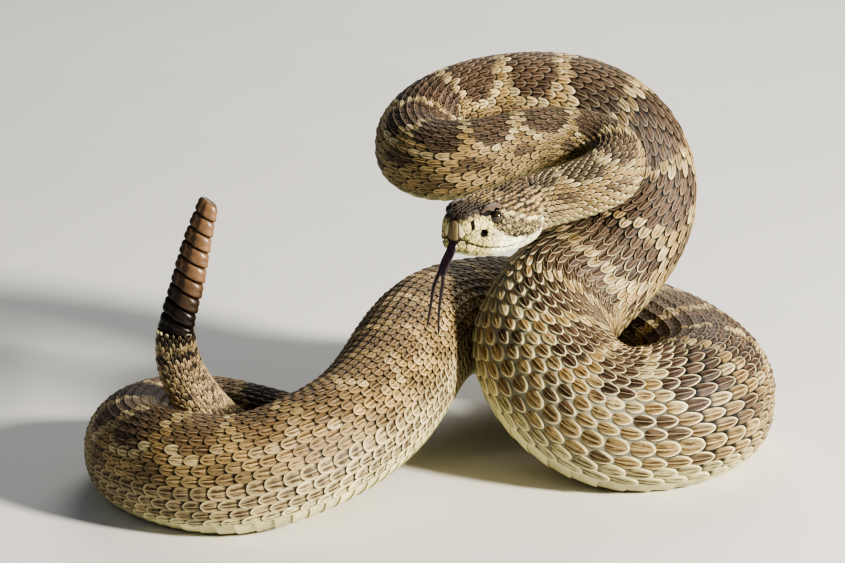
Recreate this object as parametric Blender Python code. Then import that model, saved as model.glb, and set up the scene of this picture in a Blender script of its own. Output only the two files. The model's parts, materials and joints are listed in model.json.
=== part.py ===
"""A prairie rattlesnake, coiled and alert, as a still life-size model.

Run it with blender --background --python part.py, or from Blender's text editor.
Lengths in the tables are millimetres, and the model itself is in metres.
"""
import math

import bmesh
import bpy
import numpy as np
from mathutils import Euler, Matrix, Vector

MODEL = "prairie_rattlesnake"
MM = 0.001
GAP = 0.3                        # clear space between parts that touch

# Section of the body, for a half-width of one
BACK_HEIGHT = 0.98
BELLY_DEPTH = 0.97
BELLY_POWER = 2.5                # 2 is round, more is squarer
SINK = 1.2                       # how far a resting length is pressed into its flat

# Belly plates
PLATE_EDGE = math.radians(130)   # angle from the back where the belly plates begin
PLATE_PITCH = 0.2                # length of a plate, in body widths
PLATE_LIFT = 0.016               # height of a plate's free edge, in body widths
PLATE_STEP = 0.15                # part of the pitch that the step down takes
BODY_SIDES = 18

# The head's own axes: x forward, y to the snake's left, z up, with the snout tip at the origin
SNOUT = Vector((5.1, -77.5, 101.9))
HEAD_YAW = math.radians(-120)
HEAD_PITCH = math.radians(-3)
HEAD_SIDES = 26
HEAD_ROWS = 22
SNOUT_CROWDING = 1.5             # 1 spaces the head's rows evenly, more crowds them at the snout

# Head sections: distance behind the snout, half-width, top, widest level, bottom, squareness above and below
HEAD_SECTIONS = [
    (0.0, 2.8, 3.4, -0.6, -5.6, 2.6, 2.4),
    (0.8, 4.7, 4.9, -0.9, -6.8, 2.9, 2.5),
    (2.2, 5.7, 5.8, -1.2, -7.6, 3.2, 2.6),
    (5.0, 6.5, 6.4, -1.8, -8.6, 3.4, 2.6),
    (9.0, 7.7, 6.7, -2.4, -9.7, 3.4, 2.6),
    (13.0, 9.0, 6.9, -2.8, -10.4, 3.2, 2.6),
    (18.0, 10.8, 7.1, -3.0, -10.9, 3.0, 2.6),
    (24.0, 12.9, 7.3, -2.8, -10.9, 2.7, 2.5),
    (30.0, 14.1, 7.5, -2.2, -10.4, 2.5, 2.4),
    (34.0, 13.8, 7.9, -1.6, -9.9, 2.4, 2.3),
    (38.0, 11.4, 8.4, -0.8, -9.2, 2.2, 2.2),
]

# Mouth line: distance behind the snout and height
MOUTH_LINE = [(-3.0, -3.2), (0.0, -3.4), (5.0, -5.0), (10.0, -6.3), (15.0, -7.0), (20.0, -7.0),
              (26.0, -5.7), (31.0, -4.0), (35.0, -2.9)]
JAW_FOOT = (37.5, -14.0)         # where the jaw's rear face leaves the throat
JAW_REACH = 20.0
MOUTH_STEPS = 18

# Features of the head: distance behind the snout, distance to the side, height
EYE = (12.7, 7.3, 3.4)
EYE_RADIUS = 2.1
BROW = (12.4, 6.5, 5.7)
BROW_SIZE = (4.2, 2.6, 1.3)
NOSTRIL = (2.9, 5.7, 2.0)
NOSTRIL_SIZE = (0.7, 0.9, 1.3)
PIT = (7.4, 7.3, -1.3)
PIT_SIZE = (1.3, 1.5, 0.95)
FACE_TURN = math.radians(14)     # how far the side of the face turns outward to the rear
BROW_LEAN = math.radians(-12)

# Tongue
TONGUE_THICKNESS = 0.6           # half of its thickness
TINE_THICKNESS = 0.35
TONGUE_SIDES = 10
TONGUE_ROWS = 12
TINE_ROWS = 7
TONGUE_ROOT = [((-7.5, 0.2, -5.7), 2.6, (0, 0, 1)), ((-3.0, 0.2, -4.4), 2.7, (-0.1, -0.2, 1))]

# Distances in metres below which points are taken to be the same
RING_WELD = 1e-7
CUT_WELD = 2e-6

# Rattle
RATTLE_SEGMENTS = 9
RATTLE_FLATNESS = 0.66           # thickness against breadth
RATTLE_GROOVE = 0.2              # depth of the groove along its flat faces
GROOVE_WIDTH = 0.25
RATTLE_SLANT = 0.27              # tangent of the joints' slant
RATTLE_ENDS = (0.84, 0.6)        # swelling of its first and last rows
RATTLE_PROFILE = [(0.04, 0.98), (0.14, 1.02), (0.5, 1.04), (0.84, 0.95), (0.96, 0.84)]
RATTLE_SIDES = 18

# The body's line: name, place of its centre, width, direction of the back.
# A height of None rests that station on the floor.
BODY = [
    ("skull", (15.1, -60.2, 100.8), 18, (0, 0, 1)),
    ("crown", (20.6, -50.7, 100.3), 18, (0, 0, 1)),
    ("nape", (26.1, -41.2, 99.7), 18, (0, 0, 1)),
    ("bend", (31.5, -35.7, 100.1), 18, (-0.1, 0, 1)),
    ("neck", (40.9, -32.3, 102.2), 18.2, (-0.1, -0.15, 1)),
    ("neck_turn_a", (49.7, -29.7, 104.6), 18.7, (-0.1, -0.3, 1)),
    ("neck_turn_b", (56.5, -25.1, 107.2), 19.2, (-0.05, -0.4, 1)),
    ("neck_turn", (58.9, -18, 110), 19.7, (0, -0.4, 1)),
    ("neck_turn_c", (55.7, -10.7, 112.8), 20, (0, -0.4, 1)),
    ("neck_turn_d", (47.5, -7.1, 114.6), 20, (0, -0.3, 1)),
    ("front_right", (37, -6.9, 115), 20.5, (0, -0.2, 1)),
    ("front", (22, -8.1, 111.6), 23, (0, -0.15, 1)),
    ("front_left", (8, -8, 108), 26, (0, -0.2, 1)),
    ("top_turn_a", (-2.3, -1.5, 107.2), 27, (0.05, -0.2, 1)),
    ("top_turn", (-6.1, 10, 109.5), 28.5, (0.1, -0.2, 1)),
    ("top_turn_b", (-0.5, 21.5, 113.8), 30.5, (0.1, -0.2, 1)),
    ("top_left", (12.5, 27, 117.8), 32.5, (0.05, -0.2, 1)),
    ("top", (28, 28.5, 119.4), 34.5, (0, -0.25, 1)),
    ("top_right", (44.5, 29, 117.8), 36.5, (0.1, -0.35, 1)),
    ("shoulder", (60.5, 29.5, 110), 38.5, (0.45, -0.7, 0.8)),
    ("column_top", (69.5, 29, 95), 40.5, (0.45, -0.9, 0.1)),
    ("column", (68.5, 26, 80.2), 42, (-0.1, -1, 0.1)),
    ("column_foot", (58.5, 21.5, 66), 43.5, (-0.3, -1, 0.25)),
    ("low_turn_a", (45.3, 15, 54.5), 45, (-0.1, -0.85, 0.6)),
    ("low_turn", (37.5, 1.5, 43), 46.5, (0.52, -0.58, 0.65)),
    ("low_turn_b", (43, -13.5, 31), 48, (0.6, -0.15, 0.8)),
    ("coil_front", (61.5, -22.2, None), 48.2, (0.15, -0.02, 1)),
    ("coil_right", (83, -15.7, None), 48.5, (0, -0.05, 1)),
    ("coil_turn", (93.5, 6, None), 48, (0, 0, 1)),
    ("coil_back", (87.5, 32, 24), 47, (0, 0, 1)),
    ("back_right", (71.5, 53.5, 26.5), 45.5, (0, 0, 1)),
    ("back", (48, 62, 30.5), 44, (0, 0, 1)),
    ("arch", (23.5, 56.5, 35), 42, (0, -0.1, 1)),
    ("arch_left", (4, 36.5, 38), 41, (-0.3, -0.2, 1)),
    ("slope", (-10.4, -0.5, 35.5), 40, (-0.4, -0.3, 1)),
    ("slope_foot", (-24.3, -38.5, 27.5), 39.5, (-0.5, -0.15, 1)),
    ("left_front", (-42, -58.5, 22.5), 39, (-0.35, 0.05, 1)),
    ("left", (-63.5, -64.5, None), 38.5, (-0.12, 0.12, 1)),
    ("left_turn_a", (-84.5, -57, None), 37, (0, 0, 1)),
    ("left_turn", (-100, -34.5, None), 33.5, (0, 0, 1)),
    ("left_turn_b", (-96, -7.5, None), 32, (0, 0, 1)),
    ("far", (-76.5, 4, None), 29, (0, 0, 1)),
    ("inner_turn_a", (-58, 2.8, None), 25, (0, 0, 1)),
    ("inner_turn_b", (-47.7, -1.7, None), 23, (0, 0, 1)),
    ("inner_turn", (-43.3, -12.3, None), 21, (0, 0, 1)),
    ("inner_turn_c", (-47.3, -22.9, None), 19.5, (0, 0, 1)),
    ("inner_turn_d", (-57.8, -27.1, 11.3), 19, (0.1, 0, 1)),
    ("vent", (-70, -27, 18.6), 18, (0.3, 0, 1)),
    ("tail_foot", (-80.3, -26.7, 30.6), 16.4, (0.8, 0, 0.6)),
    ("tail_middle", (-85.8, -26.7, 43.3), 14.6, (1, -0.2, 0.2)),
    ("rattle_root", (-86.4, -27, 53.4), 12.6, (1, -0.4, 0)),
    ("rattle_low", (-82.8, -27, 68.2), 11.6, (1, -0.4, 0)),
    ("rattle_high", (-78.9, -26.5, 83.3), 10.0, (1, -0.4, 0)),
    ("rattle_tip", (-74.4, -25.5, 98.2), 7.0, (1, -0.4, 0)),
]

# The lengths that the body is divided into: name, first and last station
LENGTHS = [
    ("neck", "nape", "neck_turn_c"),
    ("torso_01", "neck_turn_c", "top_turn_a"),
    ("torso_02", "top_turn_a", "top"),
    ("torso_03", "top", "column_top"),
    ("torso_04", "column_top", "low_turn_a"),
    ("torso_05", "low_turn_a", "coil_front"),
    ("torso_06", "coil_front", "coil_turn"),
    ("torso_07", "coil_turn", "back_right"),
    ("torso_08", "back_right", "arch_left"),
    ("torso_09", "arch_left", "slope_foot"),
    ("torso_10", "slope_foot", "left_turn_a"),
    ("torso_11", "left_turn_a", "left_turn_b"),
    ("torso_12", "left_turn_b", "inner_turn_b"),
    ("torso_13", "inner_turn_b", "vent"),
    ("tail", "vent", "rattle_root"),
]

# The tongue's line beyond the mouth, and its two tines: name, place, width, direction of its upper face
TONGUE = [
    ("lip", (5.3, -78.1, 98.4), 2.8, (-0.3, -0.8, 0.6)),
    ("bend", (4.2, -79.8, 96.0), 3.0, (-0.3, -0.9, 0.2)),
    ("drop", (2.6, -80.8, 92.7), 3.0, (-0.3, -1, 0)),
    ("fork", (1.4, -81.2, 88.6), 2.6, (-0.3, -1, 0)),
]
TINES = [
    [("root", (1.1, -81.1, 90.4), 1.3, (-0.3, -1, 0)),
     ("bow", (-0.9, -81.5, 85.4), 1.1, (-0.3, -1, 0)),
     ("middle", (-1.9, -81.8, 79.5), 0.9, (-0.3, -1, 0)),
     ("tip", (-3.1, -82, 72.3), 0.6, (-0.3, -1, 0))],
    [("root", (2.0, -81.1, 90.4), 1.3, (-0.3, -1, 0)),
     ("bow", (1.6, -80.8, 85), 1.1, (-0.3, -1, 0)),
     ("middle", (0.8, -80.4, 78.8), 0.9, (-0.3, -1, 0)),
     ("tip", (0.5, -80, 69.4), 0.6, (-0.3, -1, 0))],
]

# Finishes: colour, roughness
FINISHES = {
    "head": ((0.30, 0.22, 0.13), 0.6),
    "lower_jaw": ((0.62, 0.56, 0.36), 0.6),
    "eye": ((0.03, 0.025, 0.02), 0.1),
    "tongue": ((0.03, 0.015, 0.03), 0.3),
    "body": ((0.34, 0.25, 0.14), 0.65),
    "tail": ((0.16, 0.13, 0.10), 0.65),
    "rattle": ((0.38, 0.22, 0.09), 0.35),
}


def clear_scene():
    """Remove what a new Blender file starts with."""
    for item in list(bpy.data.objects):
        bpy.data.objects.remove(item, do_unlink=True)


def through(values, knots, at):
    """A natural cubic spline through values given at knots, read at other places."""
    values = np.asarray(values, float).reshape(len(knots), -1)
    gaps = np.diff(knots)
    slopes = np.diff(values, axis=0) / gaps[:, None]
    matrix = np.eye(len(knots))
    right = np.zeros_like(values)
    for i in range(1, len(knots) - 1):
        matrix[i, i - 1:i + 2] = gaps[i - 1], 2 * (gaps[i - 1] + gaps[i]), gaps[i]
        right[i] = 6 * (slopes[i] - slopes[i - 1])
    bend = np.linalg.solve(matrix, right)
    at = np.atleast_1d(at)
    span = np.clip(np.searchsorted(knots, at) - 1, 0, len(gaps) - 1)
    gap = gaps[span][:, None]
    after = at[:, None] - knots[span][:, None]
    before = gap - after
    curved = (bend[span] * before ** 3 + bend[span + 1] * after ** 3) / (6 * gap)
    low = (values[span] / gap - bend[span] * gap / 6) * before
    high = (values[span + 1] / gap - bend[span + 1] * gap / 6) * after
    return curved + low + high


class Rail:
    """A smooth line through named stations, with a half-width and an upward side all along it."""

    SAMPLES = 8000
    STEP = 0.4                   # either side of a place, to find which way the line runs there

    def __init__(self, stations):
        names, places, widths, ups = zip(*stations)
        places = np.array(places, float)
        steps = np.linalg.norm(np.diff(places, axis=0), axis=1)
        knots = np.concatenate([[0.0], np.cumsum(steps)])
        fine = np.linspace(0.0, knots[-1], self.SAMPLES)
        self.line = through(places, knots, fine)
        self.half = through(np.array(widths, float) / 2, knots, fine)[:, 0]
        self.up = through([Vector(up).normalized() for up in ups], knots, fine)
        runs = np.linalg.norm(np.diff(self.line, axis=0), axis=1)
        self.run = np.concatenate([[0.0], np.cumsum(runs)])
        self.station = dict(zip(names, np.interp(knots, fine, self.run).tolist()))
        self.length = float(self.run[-1])

    def point(self, s):
        return Vector([np.interp(s, self.run, self.line[:, axis]) for axis in range(3)])

    def half_width(self, s):
        return float(np.interp(s, self.run, self.half))

    def frame(self, s):
        """Centre, direction ahead, upward side and side to the left at a distance along the line."""
        ahead = (self.point(s + self.STEP) - self.point(s - self.STEP)).normalized()
        up = Vector([np.interp(s, self.run, self.up[:, axis]) for axis in range(3)])
        up = (up - up.dot(ahead) * ahead).normalized()
        return self.point(s), ahead, up, ahead.cross(up)


def body_outline(angle):
    """Point across and above a section of half-width one, at an angle from the back."""
    across, above = math.sin(angle), math.cos(angle)
    if above >= 0:
        return across, BACK_HEIGHT * above
    power = 2 / BELLY_POWER
    return math.copysign(abs(across) ** power, across), -BELLY_DEPTH * abs(above) ** power


def resting(stations):
    """The stations with each None height worked out from the belly's depth."""
    placed = []
    for name, (x, y, z), width, up in stations:
        if z is None:
            z = BELLY_DEPTH * width / 2 - SINK
        placed.append((name, (x, y, z), width, up))
    return placed


def tube(name, rows, sides, place):
    """A grid rolled into a closed tube: place(row, angle) gives each point in millimetres."""
    mesh = bmesh.new()
    bmesh.ops.create_grid(mesh, x_segments=sides, y_segments=rows - 1, size=1.0)
    for vertex in mesh.verts:
        column = round((vertex.co.x + 1) / 2 * sides) % sides
        row = round((vertex.co.y + 1) / 2 * (rows - 1))
        vertex.co = place(row, 2 * math.pi * column / sides) * MM
    bmesh.ops.remove_doubles(mesh, verts=mesh.verts, dist=RING_WELD)
    rims = [edge for edge in mesh.edges if edge.is_boundary]
    ends = bmesh.ops.holes_fill(mesh, edges=rims, sides=0)["faces"]
    bmesh.ops.poke(mesh, faces=ends)
    bmesh.ops.recalc_face_normals(mesh, faces=mesh.faces)
    return mesh_object(name, mesh)


def mesh_object(name, mesh):
    """An object in the scene from a bmesh."""
    data = bpy.data.meshes.new(name)
    mesh.to_mesh(data)
    mesh.free()
    item = bpy.data.objects.new(name, data)
    bpy.context.scene.collection.objects.link(item)
    return item


def ball(name, centre, size, turn=(0, 0, 0), sides=14, rings=8):
    """An egg-shaped ball in the head's own axes."""
    mesh = bmesh.new()
    shape = Matrix.LocRotScale(Vector(centre) * MM, Euler(turn), Vector(size) * MM)
    bmesh.ops.create_uvsphere(mesh, u_segments=sides, v_segments=rings, radius=1.0, matrix=shape)
    return mesh_object(name, mesh)


def slab(name, outline, reach):
    """A flat outline, given as distances behind the snout and heights, as a slab across the head."""
    curve = bpy.data.curves.new(name, "CURVE")
    curve.dimensions = "2D"
    curve.fill_mode = "BOTH"
    curve.extrude = reach * MM
    line = curve.splines.new("POLY")
    line.points.add(len(outline) - 1)
    for point, (behind, height) in zip(line.points, outline):
        point.co = (-behind * MM, height * MM, 0, 1)
    line.use_cyclic_u = True
    item = bpy.data.objects.new(name, curve)
    bpy.context.scene.collection.objects.link(item)
    item.rotation_euler = (math.pi / 2, 0, 0)
    activate(item)
    bpy.ops.object.convert(target="MESH")
    bpy.ops.object.transform_apply(location=False, rotation=True, scale=False)
    return item


def activate(item):
    """Make one object the only selected and active one."""
    for other in bpy.context.selected_objects:
        other.select_set(False)
    item.select_set(True)
    bpy.context.view_layer.objects.active = item


def combine(item, others, operation):
    """Join or cut an object with closed mesh objects, which are then removed."""
    group = bpy.data.collections.new("pieces")
    bpy.context.scene.collection.children.link(group)
    for other in others:
        group.objects.link(other)
    change = item.modifiers.new("combine", "BOOLEAN")
    change.operand_type = "COLLECTION"
    change.collection = group
    change.operation = operation
    change.solver = "EXACT"
    activate(item)
    bpy.ops.object.modifier_apply(modifier=change.name)
    for other in others:
        bpy.data.objects.remove(other, do_unlink=True)
    bpy.data.collections.remove(group)
    keep_largest(item)


def keep_largest(item):
    """Weld near-doubles and keep only the largest closed surface of an object."""
    mesh = bmesh.new()
    mesh.from_mesh(item.data)
    bmesh.ops.remove_doubles(mesh, verts=mesh.verts, dist=CUT_WELD)
    bmesh.ops.triangulate(mesh, faces=mesh.faces)
    waiting = set(mesh.verts)
    largest = set()
    while waiting:
        surface = set()
        front = [waiting.pop()]
        while front:
            vertex = front.pop()
            surface.add(vertex)
            linked = [edge.other_vert(vertex) for edge in vertex.link_edges]
            fresh = [other for other in linked if other in waiting]
            waiting.difference_update(fresh)
            front.extend(fresh)
        if len(surface) > len(largest):
            largest = surface
    bmesh.ops.delete(mesh, geom=[vertex for vertex in mesh.verts if vertex not in largest], context="VERTS")
    mesh.to_mesh(item.data)
    mesh.free()


def finish(item, kind, collection, parent):
    """Give a finished object its material, collection and parent."""
    colour, roughness = FINISHES[kind]
    material = bpy.data.materials.new(item.name)
    material.use_nodes = True
    shader = material.node_tree.nodes["Principled BSDF"]
    shader.inputs["Base Color"].default_value = (*colour, 1)
    shader.inputs["Roughness"].default_value = roughness
    shader.inputs["Metallic"].default_value = 0.0
    item.data.materials.clear()
    item.data.materials.append(material)
    for owner in list(item.users_collection):
        owner.objects.unlink(item)
    collection.objects.link(item)
    item.parent = parent


def plate_edges(rail):
    """Distances along the body at which one belly plate ends and the next begins."""
    edges = [rail.station["nape"]]
    while edges[-1] < rail.station["rattle_root"]:
        edges.append(edges[-1] + 2 * PLATE_PITCH * rail.half_width(edges[-1]))
    return edges


def plate_rise(s, edges):
    """How far a belly plate stands out at s, from 0 at its tucked front edge to 1 at its free rear edge."""
    later = next((i for i, edge in enumerate(edges) if edge > s), len(edges) - 1)
    front, rear = edges[later - 1], edges[later]
    along = (s - front) / (rear - front)
    return (along - PLATE_STEP) / (1 - PLATE_STEP) if along > PLATE_STEP else 1 - along / PLATE_STEP


def body_point(rail, s, angle, rise):
    """A point of the body's surface, with the belly raised by part of a plate's lift."""
    centre, _, up, side = rail.frame(s)
    half = rail.half_width(s)
    across, above = body_outline(angle)
    on_belly = PLATE_EDGE < angle < 2 * math.pi - PLATE_EDGE
    reach = half + (2 * half * PLATE_LIFT * rise if on_belly else 0.0)
    point = centre + reach * (across * side + above * up)
    point.z = max(point.z, 0.0)
    return point


def body_length(name, rail, start, end, edges):
    """One length of the body, with a row at each plate's tucked edge and free edge."""
    places = [start, end]
    for front, rear in zip(edges, edges[1:]):
        places += [front, front + PLATE_STEP * (rear - front)]
    clear = PLATE_STEP * PLATE_PITCH * rail.half_width(start)
    inner = [s for s in places if start + clear < s < end - clear]
    rows = [start] + sorted(inner) + [end]
    rises = [plate_rise(s, edges) for s in rows]
    return tube(name, len(rows), BODY_SIDES, lambda row, angle: body_point(rail, rows[row], angle, rises[row]))


def head_form(name, rail, to_head):
    """The whole head before its mouth is cut, from the snout back to the neck's own outline."""
    behind = np.array([section[0] for section in HEAD_SECTIONS])
    last = behind[-1]
    spread = np.linspace(0, 1, HEAD_ROWS - 1) ** SNOUT_CROWDING * last
    sections = through([section[1:] for section in HEAD_SECTIONS], behind, spread)
    neck = rail.station["nape"] - GAP / 2

    def place(row, angle):
        if row == HEAD_ROWS - 1:
            return to_head @ body_point(rail, neck, angle, 0.0)
        half, top, level, bottom, squareness, squareness_below = sections[row]
        across, above = math.sin(angle), math.cos(angle)
        power = 2 / (squareness if above >= 0 else squareness_below)
        height = (top - level if above >= 0 else level - bottom) * math.copysign(abs(above) ** power, above)
        return Vector((-spread[row], half * math.copysign(abs(across) ** power, across), level + height))

    return tube(name, HEAD_ROWS, HEAD_SIDES, place)


def mirrored(make, name, place, size, lean=0.0):
    """The same ball on both sides of the head, turned to follow its widening side."""
    behind, out, height = place
    pair = []
    for side in (1, -1):
        pair.append(make(name, (-behind, side * out, height), size, (side * lean, 0, -side * FACE_TURN)))
    return pair


def jaw_region(name, grow):
    """The space of the lower jaw, grown upward and backward by an amount."""
    line = np.array(MOUTH_LINE)
    spread = np.linspace(line[0, 0], line[-1, 0], MOUTH_STEPS)
    heights = through(line[:, 1], line[:, 0], spread)[:, 0] + grow
    outline = [(line[0, 0], JAW_FOOT[1])]
    outline += list(zip(spread, heights))
    outline[-1] = (outline[-1][0] + grow, outline[-1][1])
    outline.append((JAW_FOOT[0] + grow, JAW_FOOT[1]))
    return slab(name, outline, JAW_REACH)


def ribbon(name, rail, rows, thickness, grow=0.0):
    """A flat tube along a line, such as the tongue or one of its tines."""
    spread = np.linspace(0, rail.length, rows)

    def place(row, angle):
        centre, _, up, side = rail.frame(spread[row])
        across = (rail.half_width(spread[row]) + grow) * math.sin(angle)
        return centre + across * side + (thickness + grow) * math.cos(angle) * up

    return tube(name, rows, TONGUE_SIDES, place)


def tongue_rail(to_world):
    """The tongue's line, from its root inside the mouth to its fork."""
    inside = [("inside", to_world @ Vector(place), width, up) for place, width, up in TONGUE_ROOT]
    return Rail(inside + TONGUE)


def rattle(name, rail):
    """The rattle: nine flattened segments, each widest near its lower rim, with slanting joints."""
    start = rail.station["rattle_root"] + GAP / 2
    pitch = (rail.length - start) / RATTLE_SEGMENTS
    rows = [(start, RATTLE_ENDS[0])]
    for segment in range(RATTLE_SEGMENTS):
        rows += [(start + pitch * (segment + along), swell) for along, swell in RATTLE_PROFILE]
    rows.append((rail.length, RATTLE_ENDS[1]))

    def place(row, angle):
        s, swell = rows[row]
        centre, ahead, up, side = rail.frame(s)
        breadth = rail.half_width(s) * swell
        across, above = math.sin(angle), math.cos(angle)
        groove = 1 - RATTLE_GROOVE * math.exp(-(above / GROOVE_WIDTH) ** 2)
        slant = RATTLE_SLANT * min(1.0, (s - start) / pitch) * breadth * above
        return centre + breadth * (RATTLE_FLATNESS * groove * across * side + above * up) - slant * ahead

    return tube(name, len(rows), RATTLE_SIDES, place)


def build():
    """Make every part of the snake."""
    clear_scene()
    collection = bpy.data.collections.new(MODEL)
    bpy.context.scene.collection.children.link(collection)
    base = bpy.data.objects.new(MODEL, None)
    head_axes = bpy.data.objects.new("head_axes", None)
    head_axes.location = SNOUT * MM
    head_axes.rotation_euler = (0, HEAD_PITCH, HEAD_YAW)
    head_axes.parent = base
    for empty in (base, head_axes):
        collection.objects.link(empty)
    to_world = Matrix.LocRotScale(SNOUT, Euler((0, HEAD_PITCH, HEAD_YAW)), None)

    rail = Rail(resting(BODY))
    edges = plate_edges(rail)
    for name, first, last in LENGTHS:
        start = rail.station[first] + GAP / 2
        end = rail.station[last] - GAP / 2
        finish(body_length(name, rail, start, end, edges), "tail" if name == "tail" else "body", collection, base)
    finish(rattle("rattle", rail), "rattle", collection, base)

    head = head_form("head", rail, to_world.inverted())
    combine(head, mirrored(ball, "brow", BROW, BROW_SIZE, BROW_LEAN), "UNION")
    hollows = mirrored(ball, "socket", EYE, [EYE_RADIUS + GAP] * 3)
    hollows += mirrored(ball, "nostril", NOSTRIL, NOSTRIL_SIZE)
    hollows += mirrored(ball, "pit", PIT, PIT_SIZE)
    combine(head, hollows, "DIFFERENCE")
    combine(head, [jaw_region("mouth", GAP / 2)], "DIFFERENCE")
    jaw = head_form("lower_jaw", rail, to_world.inverted())
    combine(jaw, [jaw_region("mouth", -GAP / 2)], "INTERSECT")

    line = tongue_rail(to_world)
    tongue = ribbon("tongue", line, TONGUE_ROWS, TONGUE_THICKNESS)
    tines = [ribbon("tine", Rail(tine), TINE_ROWS, TINE_THICKNESS) for tine in TINES]
    combine(tongue, tines, "UNION")
    for item in (head, jaw):
        hollow = ribbon("hollow", line, TONGUE_ROWS, TONGUE_THICKNESS, GAP)
        hollow.data.transform(Matrix.Scale(MM, 4) @ to_world.inverted() @ Matrix.Scale(1 / MM, 4))
        combine(item, [hollow], "DIFFERENCE")
    finish(tongue, "tongue", collection, base)

    eyes = mirrored(ball, "eye", EYE, [EYE_RADIUS] * 3)
    for eye, side in zip(eyes, ("left", "right")):
        eye.name = "eye_" + side
        finish(eye, "eye", collection, head_axes)
    finish(head, "head", collection, head_axes)
    finish(jaw, "lower_jaw", collection, head_axes)


build()
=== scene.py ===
"""A prairie rattlesnake, coiled and alert: its skin, scales, plates, eyes, tongue and rattle, on a plain floor.

Lengths in the tables and functions are millimetres, and the model itself is in metres.
"""
import json
import math

import bmesh
import bpy
import numpy as np
from bpy.props import FloatProperty, FloatVectorProperty, IntProperty, PointerProperty
from mathutils import Euler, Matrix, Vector
from mathutils.bvhtree import BVHTree

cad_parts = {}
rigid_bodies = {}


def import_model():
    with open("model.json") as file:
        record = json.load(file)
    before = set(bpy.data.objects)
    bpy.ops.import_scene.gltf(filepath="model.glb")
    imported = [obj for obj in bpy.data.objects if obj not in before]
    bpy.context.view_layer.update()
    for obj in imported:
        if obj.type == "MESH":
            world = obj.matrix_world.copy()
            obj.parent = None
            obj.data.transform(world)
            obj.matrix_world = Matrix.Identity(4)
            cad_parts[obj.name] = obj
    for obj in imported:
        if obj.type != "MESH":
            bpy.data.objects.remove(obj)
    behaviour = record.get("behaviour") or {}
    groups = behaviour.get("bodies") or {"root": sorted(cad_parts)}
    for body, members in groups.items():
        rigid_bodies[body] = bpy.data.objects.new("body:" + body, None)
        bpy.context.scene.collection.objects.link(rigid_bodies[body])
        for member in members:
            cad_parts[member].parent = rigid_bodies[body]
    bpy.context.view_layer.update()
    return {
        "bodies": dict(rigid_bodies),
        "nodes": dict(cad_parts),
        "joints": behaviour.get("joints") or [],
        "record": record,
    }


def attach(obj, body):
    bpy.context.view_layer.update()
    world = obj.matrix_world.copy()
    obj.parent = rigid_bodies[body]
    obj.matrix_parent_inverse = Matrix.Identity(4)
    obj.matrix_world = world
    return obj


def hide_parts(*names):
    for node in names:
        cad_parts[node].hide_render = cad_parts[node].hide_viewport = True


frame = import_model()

bl_info = {
    "name": "Prairie rattlesnake",
    "version": (1, 0, 0),
    "blender": (4, 5, 0),
    "location": "3D View > Sidebar > Snake",
    "description": "Skin, scales, head plates, rattle and studio for a still life-size rattlesnake",
    "category": "Object",
}

MM = 0.001
FLESH = ["head", "lower_jaw", "neck", "tail"] + [f"torso_{i:02d}" for i in range(1, 14)]

# Section of the body, for a half-width of one
BACK_HEIGHT = 0.98
BELLY_DEPTH = 0.97
BELLY_POWER = 2.5
SINK = 1.2
GAP = 0.3

# The head's own axes: x forward, y to the snake's left, z up, with the snout tip at the origin
SNOUT = np.array([5.1, -77.5, 101.9])
HEAD_TURN = np.array(Euler((0, math.radians(-3), math.radians(-120))).to_matrix())

# Head sections: distance behind the snout, half-width, top, widest level, bottom, squareness above and below
HEAD_SECTIONS = np.array([
    (0.0, 2.8, 3.4, -0.6, -5.6, 2.6, 2.4),
    (0.8, 4.7, 4.9, -0.9, -6.8, 2.9, 2.5),
    (2.2, 5.7, 5.8, -1.2, -7.6, 3.2, 2.6),
    (5.0, 6.5, 6.4, -1.8, -8.6, 3.4, 2.6),
    (9.0, 7.7, 6.7, -2.4, -9.7, 3.4, 2.6),
    (13.0, 9.0, 6.9, -2.8, -10.4, 3.2, 2.6),
    (18.0, 10.8, 7.1, -3.0, -10.9, 3.0, 2.6),
    (24.0, 12.9, 7.3, -2.8, -10.9, 2.7, 2.5),
    (30.0, 14.1, 7.5, -2.2, -10.4, 2.5, 2.4),
    (34.0, 13.8, 7.9, -1.6, -9.9, 2.4, 2.3),
    (38.0, 11.4, 8.4, -0.8, -9.2, 2.2, 2.2),
    (42.0, 9.3, 8.8, 0.0, -8.8, 2.0, 2.3),
    (50.0, 9.0, 8.8, 0.0, -8.8, 2.0, 2.5),
])
NECK_BEGINS = 34.0               # behind the snout, where the head starts to turn into the neck
NECK_WHOLE = 47.0

# Mouth line: distance behind the snout and height
MOUTH_LINE = np.array([(-3.0, -3.2), (0.0, -3.4), (5.0, -5.0), (10.0, -6.3), (15.0, -7.0), (20.0, -7.0),
                       (26.0, -5.7), (31.0, -4.0), (35.0, -2.9)])
MOUTH_CORNER = 35.0

# Features of the head: distance behind the snout, distance to the side, height
EYE = (12.8, 7.65, 3.4)
EYE_RADIUS = 2.15
BROW = (13.0, 6.3, 5.7)
BROW_SIZE = (4.8, 2.2, 1.25)
NOSTRIL = (2.9, 5.7, 2.0)
NOSTRIL_SIZE = (0.62, 1.4)
PIT = (7.5, 7.3, -1.15)
PIT_SIZE = (1.5, 1.15)
FACE_SIDE = 3                    # the nostril and the pit lie farther to the side than this

# Shape of the skin at the mouth, the eye socket, the nostril and the pit
MOUTH_DEPTH = 0.9
MOUTH_WIDTH = 0.3
SOCKET = 2.35                    # distance from the middle of the eye to the socket's raised rim
SOCKET_RIM = 0.4
SOCKET_DEPTH = 2.6
NOSTRIL_DEPTH = 1.4
PIT_DEPTH = 1.9

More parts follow.
